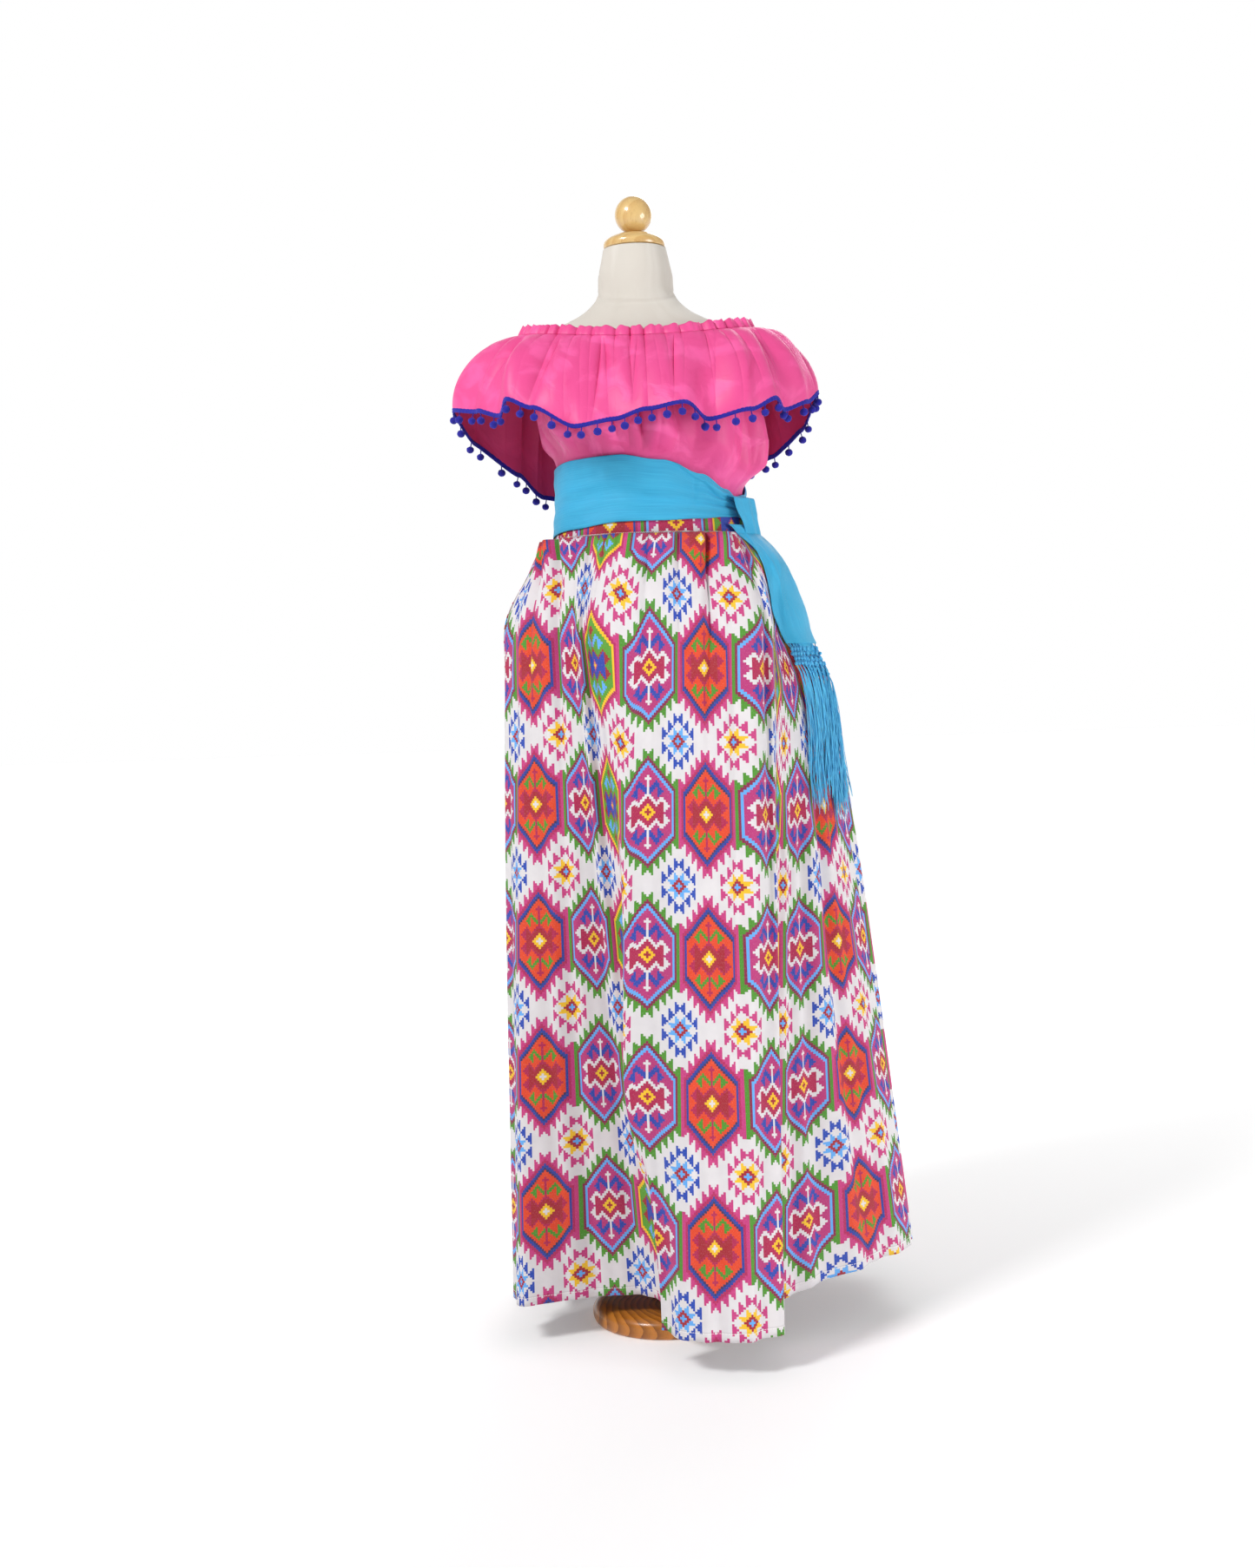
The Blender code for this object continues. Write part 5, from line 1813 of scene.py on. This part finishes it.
@dataclass(frozen=True)
class Sash:
    """The sash round the waist, its knot, and two hanging tails with knotted fringes."""

    finish: Material
    thread: Material
    knot_angle: float = 66.0
    knot_height: float = 1.093
    knot_size: tuple = (0.0060, 0.0160, 0.0110)
    pleats: float = 3.5
    pleat_depth: float = 0.0044
    lap_height: float = 0.0030
    crease_angle: float = 29.0
    crease_depth: float = 0.0020
    net_height: float = 0.026
    net_rows: int = 4
    net_off: float = 0.0016
    net_drawn_in: float = 0.10
    net_knot_radius: float = 0.0024
    cord_radius: float = 0.0008
    falls_to: float = 0.02
    fringe_length: float = 0.185
    bundles: int = 9
    threads: int = 12
    thread_steps: int = 15
    thread_radius: float = 0.00055
    thread_off: float = 0.0036
    thread_least_off: float = 0.003
    thread_swing: float = 0.0030
    width: float = 0.092
    band_length: float = 0.80
    band_open_share: float = 0.75
    folded_width: float = 0.060
    tail_open_share: float = 0.8
    gap: float = 0.0006

    def build(self) -> None:
        """Build and declare every piece of the sash."""
        self._build_band()
        self._build_knot()
        for side, table, width, seed in (
            ("front", TAIL_FRONT, self.width, 0.0),
            ("back", TAIL_BACK, self.folded_width, 3.0),
        ):
            self._build_fringe(side, table, seed)
            self._build_tail(side, table, width)

    def _build_band(self) -> None:
        """The band, pleated more and more towards the knot."""
        band = cloth_piece(
            "sash_band_wrapped",
            (720, 64),
            self._band,
            laid_flat(self.band_length, self.width),
            closed=True,
        )
        declare(band, "sash_band", "sash_weave", self.finish)

    def _band(self, across: Array, up: Array) -> Array:
        """Points of the band."""
        angle = round_angle(across)
        turn = np.radians(angle)
        low, high = sash_edge(1, angle), sash_edge(2, angle)
        z = low + (high - low) * up
        from_knot = (angle - self.knot_angle + 180.0) % 360.0 - 180.0
        near = np.exp(-((from_knot / 42.0) ** 2))
        under = 1.0 - np.exp(-((from_knot / 9.0) ** 2))
        bend = 0.9 * np.sin(turn * 3.0) + 0.5 * np.sin(turn * 7.0 + 1.0)
        waves = 0.5 * (1.0 + np.cos(math.tau * self.pleats * up + bend))
        edges = np.sin(math.pi * np.clip(up, 0.0, 1.0)) ** 0.4
        depth = self.pleat_depth * (0.30 + 0.70 * near) * under
        lapped = 1.0 - 0.45 * smooth((angle - 12.0) / 50.0)
        layered = self.lap_height * smooth((up - lapped) / 0.03) * smooth((angle - 10.0) / 8.0)
        at_crease = np.exp(-(((angle - self.crease_angle) / 1.6) ** 2))
        crease = self.crease_depth * at_crease * smooth((lapped - up) / 0.05) * up
        layered = (layered - crease) * smooth((80.0 - angle) / 10.0)
        lift = depth * waves * edges + layered * under
        return raised(at_waist(angle, z, 2) + outward(angle) * lift[..., None], z)

    def _build_knot(self) -> None:
        """The lump of the knot, with the folds of the cloth that wraps round it."""
        mesh = bmesh.new()
        bmesh.ops.create_uvsphere(mesh, u_segments=96, v_segments=64, radius=1.0, calc_uvs=False)
        depth, width, rise = self.knot_size
        turn = np.array([self.knot_angle])
        out = outward(turn)[0]
        along = np.array([-out[1], out[0]])
        centre = at_waist(turn, np.array([self.knot_height]), 2)[0]
        centre = centre + out * (WALL / 2 + CONTACT + depth)
        for corner in mesh.verts:
            x, y, z = corner.co
            folds = 0.05 * math.cos(13.0 * y + 2.2 * z) + 0.03 * math.cos(21.0 * y - 1.5 * z + 1.0)
            size = 1.0 + folds * (1.0 - abs(z)) * (1.0 if x > -0.2 else 0.0) - 0.05
            flat = centre + out * x * depth * size + along * y * width * size
            corner.co = (*flat, self.knot_height + z * rise * size)
        layer = mesh.loops.layers.uv.new("Cut")
        for face in mesh.faces:
            for loop in face.loops:
                place = loop.vert.co
                loop[layer].uv = (place.z, float(np.dot(along, (place.x, place.y))))
        bmesh.ops.recalc_face_normals(mesh, faces=mesh.faces)
        knot = solid_piece("sash_knot_tied", mesh, sharp=60.0)
        declare(knot, "sash_knot", "sash_weave", self.finish)

    def _tail(self, table: Array, across: Array, down: Array) -> Array:
        """Points of a tail for shares across and down it."""
        rows = np.concatenate([[0.0], np.cumsum(np.abs(np.diff(table[:, 0])) + 0.008)])
        place = down * rows[-1]
        z = curved(place, rows, table[:, 0])
        first, last = curved(place, rows, table[:, 1]), curved(place, rows, table[:, 2])
        away = np.interp(place, rows, table[:, 3])
        width = first + (last - first) * across
        from_knot = np.clip(table[0, 0] - z, 0.0, None)
        fade = np.exp(-from_knot / 0.075)
        folds = 0.5 + 0.5 * np.cos(math.tau * 2.5 * across + 0.8 * np.sin(14.0 * z))
        lift = 0.0030 * folds * fade * smooth(down / 0.04)
        wave = 0.0011 * (1.0 + np.sin(math.tau * 1.3 * across + 17.0 * z)) * (1.0 - fade)
        edge = 4.0 * across * (1.0 - across)
        off = self._off(away, across, z) + (lift + wave) * (0.25 + 0.75 * edge)
        return tail_point(width, z, off)

    def _off(self, away: Array, across: Array, z: Array) -> Array:
        """How far a tail stands off: below the knot, more at the edge that hangs over the hip."""
        below_knot = smooth((self.knot_height - 0.008 - z) / 0.03)
        return away * (1.0 + 0.4 * (2.0 * across - 1.0) * below_knot)

    def _build_tail(self, side: str, table: Array, width: float) -> None:
        """A hanging tail.

        Args:
            side: front or back.
            table: its rows.
            width: its width where it is laid flat, without what is folded under.
        """
        length = float(table[0, 0] - table[-1, 0]) * 1.04
        tail = cloth_piece(
            f"sash_tail_{side}_hanging",
            (56, 200),
            lambda across, up: self._tail(table, across, 1.0 - up),
            lambda across, up: np.stack([up * length, across * width], axis=-1),
        )
        declare(tail, f"sash_tail_{side}", "sash_weave", self.finish)

    def _build_fringe(self, side: str, table: Array, seed: float) -> None:
        """A net of knots under a tail, with bundles of fine threads hanging from it."""
        mesh = bmesh.new()
        end, first, last, away = table[-1]
        top = end - self.gap
        rows = []
        for row in range(self.net_rows + 1):
            z = top - self.net_height * row / self.net_rows
            count = self.bundles - row % 2
            share = (np.arange(count) + 0.5 + 0.5 * (row % 2)) / self.bundles
            share = self._drawn_in(share, self.net_drawn_in * row / self.net_rows)
            z = np.full_like(share, z)
            out = self._off(away, share, z) + self.net_off * (row > 0)
            rows.append(tail_point(first + (last - first) * share, z, out))
        for row, (upper, lower) in enumerate(zip(rows, rows[1:])):
            for k in range(len(upper)):
                for other in (k - 1, k) if row % 2 == 0 else (k, k + 1):
                    if 0 <= other < len(lower):
                        step = lower[other] - upper[k]
                        middle = (upper[k] + lower[other]) / 2 + step[[1, 0, 2]] * 0.06
                        cord = np.array([upper[k], middle, lower[other]])
                        strand(mesh, cord, self.cord_radius, CORD_SIDES)
        for row in rows[1:]:
            for k, place in enumerate(row):
                tied = bmesh.ops.create_icosphere(
                    mesh, subdivisions=2, radius=self.net_knot_radius
                )["verts"]
                bmesh.ops.scale(mesh, verts=tied, vec=(1.0, 0.9, 1.15 + 0.2 * math.sin(2.9 * k)))
                bmesh.ops.translate(mesh, verts=tied, vec=Vector(place))
        self._threads(mesh, table, rows[-1], seed)
        bmesh.ops.recalc_face_normals(mesh, faces=mesh.faces)
        fringe = solid_piece(f"fringe_{side}_threads", mesh, sharp=80.0)
        declare(fringe, f"fringe_{side}", "sash_weave", self.thread)

    def _drawn_in(self, share: Array, amount: Array) -> Array:
        """Shares across a tail, drawn in towards the place that its threads fall to."""
        return share * (1.0 - amount) + self.falls_to * amount

    def _threads(self, mesh: Mesh, table: Array, knots: Array, seed: float) -> None:
        """Hang a bundle of threads from each of the lowest knots."""
        end, first, last, away = table[-1]
        low = end - self.gap - self.net_height
        down = np.linspace(0.0, 1.0, self.thread_steps)
        for k, place in enumerate(knots):
            share = (k + 0.5 + 0.5 * (self.net_rows % 2)) / self.bundles
            bundle = 0.030 * math.sin(1.9 * k + seed)
            for thread in range(self.threads):
                phase = seed + 2.4 * k + 1.7 * thread
                length = self.fringe_length * (
                    1.0
                    - 0.22 * share
                    + 0.08 * math.sin(2.3 * k + seed)
                    + 0.05 * math.sin(phase * 3.1)
                )
                spread = 0.012 * (thread - (self.threads - 1) / 2) + 0.02 * math.sin(phase * 1.3)
                kinks = 0.008 * np.sin(down * (17.0 + 3.0 * math.sin(phase)) + phase)
                sway = 0.035 * np.sin(down * (2.6 + math.sin(phase)) + phase)
                fallen = self._drawn_in(share, self.net_drawn_in + 0.54 * down**0.8)
                across = fallen + bundle * down + spread * down**0.7 + (kinks + sway) * down**0.5
                z = low - length * down
                lock = self.thread_swing * np.sin(down * 7.0 + 2.1 * k + seed) * down
                swing = self.thread_swing * np.sin(down * 5.0 + phase * 1.3) * down
                out = self._off(away, share, z) + self.thread_off + lock + swing
                path = tail_point(
                    first + (last - first) * across, z, np.maximum(out, self.thread_least_off)
                )
                path[0] = place
                strand(mesh, path, self.thread_radius, 3)


@dataclass(frozen=True)
class Studio:
    """The camera, the soft lights and the pale floor."""

    place: tuple = (-0.0325, -2.6, 0.855)
    pitch: float = 2.67
    roll: float = 1.86
    focal: float = 2210.0
    picture: tuple = (1445, 1806)
    sensor: float = 36.0
    ambient: float = 0.33
    field_edge: tuple = (0.62, 0.80)
    glow: tuple = (0.0, 0.62)
    glow_reach: tuple = (-1.5, 3.0)
    aim: tuple = (0.0, 0.0, 0.8)
    lights: tuple = (
        ("Key", (-1.9, -1.9, 2.9), 0.9, 80.0),
        ("Fill", (2.6, -1.7, 0.8), 1.6, 46.0),
        ("Back", (0.8, 2.2, 2.6), 1.8, 22.0),
    )

    def build(self) -> None:
        """Build everything round the object."""
        self._camera()
        self._floor()
        for name, place, size, power in self.lights:
            self._light(name, place, size, power)
        self._surroundings()
        bpy.context.scene.view_settings.view_transform = "Standard"

    def _surroundings(self) -> None:
        """A soft even light all round, with a white field behind the object."""
        world = bpy.data.worlds.new("studio")
        world.use_nodes = True
        graph, shade = Graph(world.node_tree), world.node_tree.nodes["Background"]
        shade.inputs["Color"].default_value = (1.0, 1.0, 1.0, 1.0)
        direction = graph.add("SeparateXYZ", {0: graph.add("TexCoord").outputs["Generated"]})
        white = graph.levels(direction.outputs[1], *self.field_edge, self.ambient, 1.0)
        feed(graph, shade, Strength=white)
        bpy.context.scene.world = world

    def _camera(self) -> None:
        """Aim the camera from its pitch and roll."""
        pitch, roll = math.radians(self.pitch), math.radians(self.roll)
        forward = Vector((0.0, math.cos(pitch), -math.sin(pitch)))
        level, upright = Vector((1.0, 0.0, 0.0)), Vector((0.0, math.sin(pitch), math.cos(pitch)))
        right = level * math.cos(roll) - upright * math.sin(roll)
        above = level * math.sin(roll) + upright * math.cos(roll)
        lens = bpy.data.cameras.new("camera")
        lens.sensor_width = self.sensor
        lens.lens = self.focal / max(self.picture) * self.sensor
        camera = bpy.data.objects.new("camera", lens)
        turn = Matrix((right, above, -forward)).transposed().to_4x4()
        camera.matrix_world = Matrix.Translation(self.place) @ turn
        bpy.context.collection.objects.link(camera)
        scene = bpy.context.scene
        scene.camera = camera
        scene.render.resolution_x, scene.render.resolution_y = self.picture

    def _floor(self) -> None:
        """A pale floor, brighter far away like the field behind it."""
        mesh = bmesh.new()
        bmesh.ops.create_grid(mesh, x_segments=1, y_segments=1, size=30.0)
        floor = solid_piece("floor", mesh, sharp=60.0)
        settings = {
            "Base Color": (0.93, 0.93, 0.93, 1.0),
            "Roughness": 0.9,
            "Emission Color": (1.0, 1.0, 1.0, 1.0),
        }
        made, graph, shader = start_material("floor", settings)
        place = graph.add("TexCoord").outputs["Object"]
        behind = graph.add("SeparateXYZ", {0: place}).outputs[1]
        feed(graph, shader, Emission_Strength=graph.levels(behind, *self.glow_reach, *self.glow))
        floor.data.materials.append(made)

    def _light(self, name: str, place: tuple, size: float, power: float) -> None:
        """A large soft light that points at the middle of the object."""
        lamp = bpy.data.lights.new(name, "AREA")
        lamp.shape = "DISK"
        lamp.size, lamp.energy = size, power
        light = bpy.data.objects.new(name, lamp)
        away = Vector(place) - Vector(self.aim)
        turn = away.to_track_quat("Z", "Y").to_matrix().to_4x4()
        light.matrix_world = Matrix.Translation(place) @ turn
        bpy.context.collection.objects.link(light)


def main() -> None:
    """Build the set, its stand and the studio, each in its own order."""
    logging.basicConfig(level=logging.INFO, format="%(message)s")
    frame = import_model()
    log.info("Frame of %d solids loaded", len(frame))
    effects = Effects()
    satin = Satin(effects).material()
    # The wrong side: rougher, and darker with painted shade
    shaded_inside = Satin(effects, "pink_satin_inside_shaded", (214, 66, 120), (184, 44, 96), 0.62).material()
    print_cloth = PrintedCotton(effects).material()
    weave = SashWeave(effects).material()
    thread = Yarn(
        "fringe_thread", (96, 206, 240), (28, 140, 196), 800.0, 0.0002, 0.60, (1.0, 1.0, 0.05)
    ).material()
    yarn = Yarn().material()
    log.info("Finishes made")
    DressForm(Jersey(effects)).build()
    maple = VarnishedWood(effects, "varnished_maple", (224, 190, 126), (202, 154, 86), 26.0, 0.55)
    pine = VarnishedWood(
        effects, "varnished_pine", (196, 124, 46), (128, 72, 18), 38.0, 0.9, gloss=0.12
    )
    Stand(maple, pine, PoleSteel()).build()
    log.info("Dress form and stand built")
    Blouse(satin, shaded_inside).build()
    flounce = Flounce(satin, shaded_inside)
    PompomBraid(yarn, flounce).build()
    flounce.build()
    log.info("Blouse built")
    Skirt(print_cloth).build()
    log.info("Skirt built")
    Sash(weave, thread).build()
    log.info("Sash built")
    Studio().build()


if __name__ == "__main__":
    main()
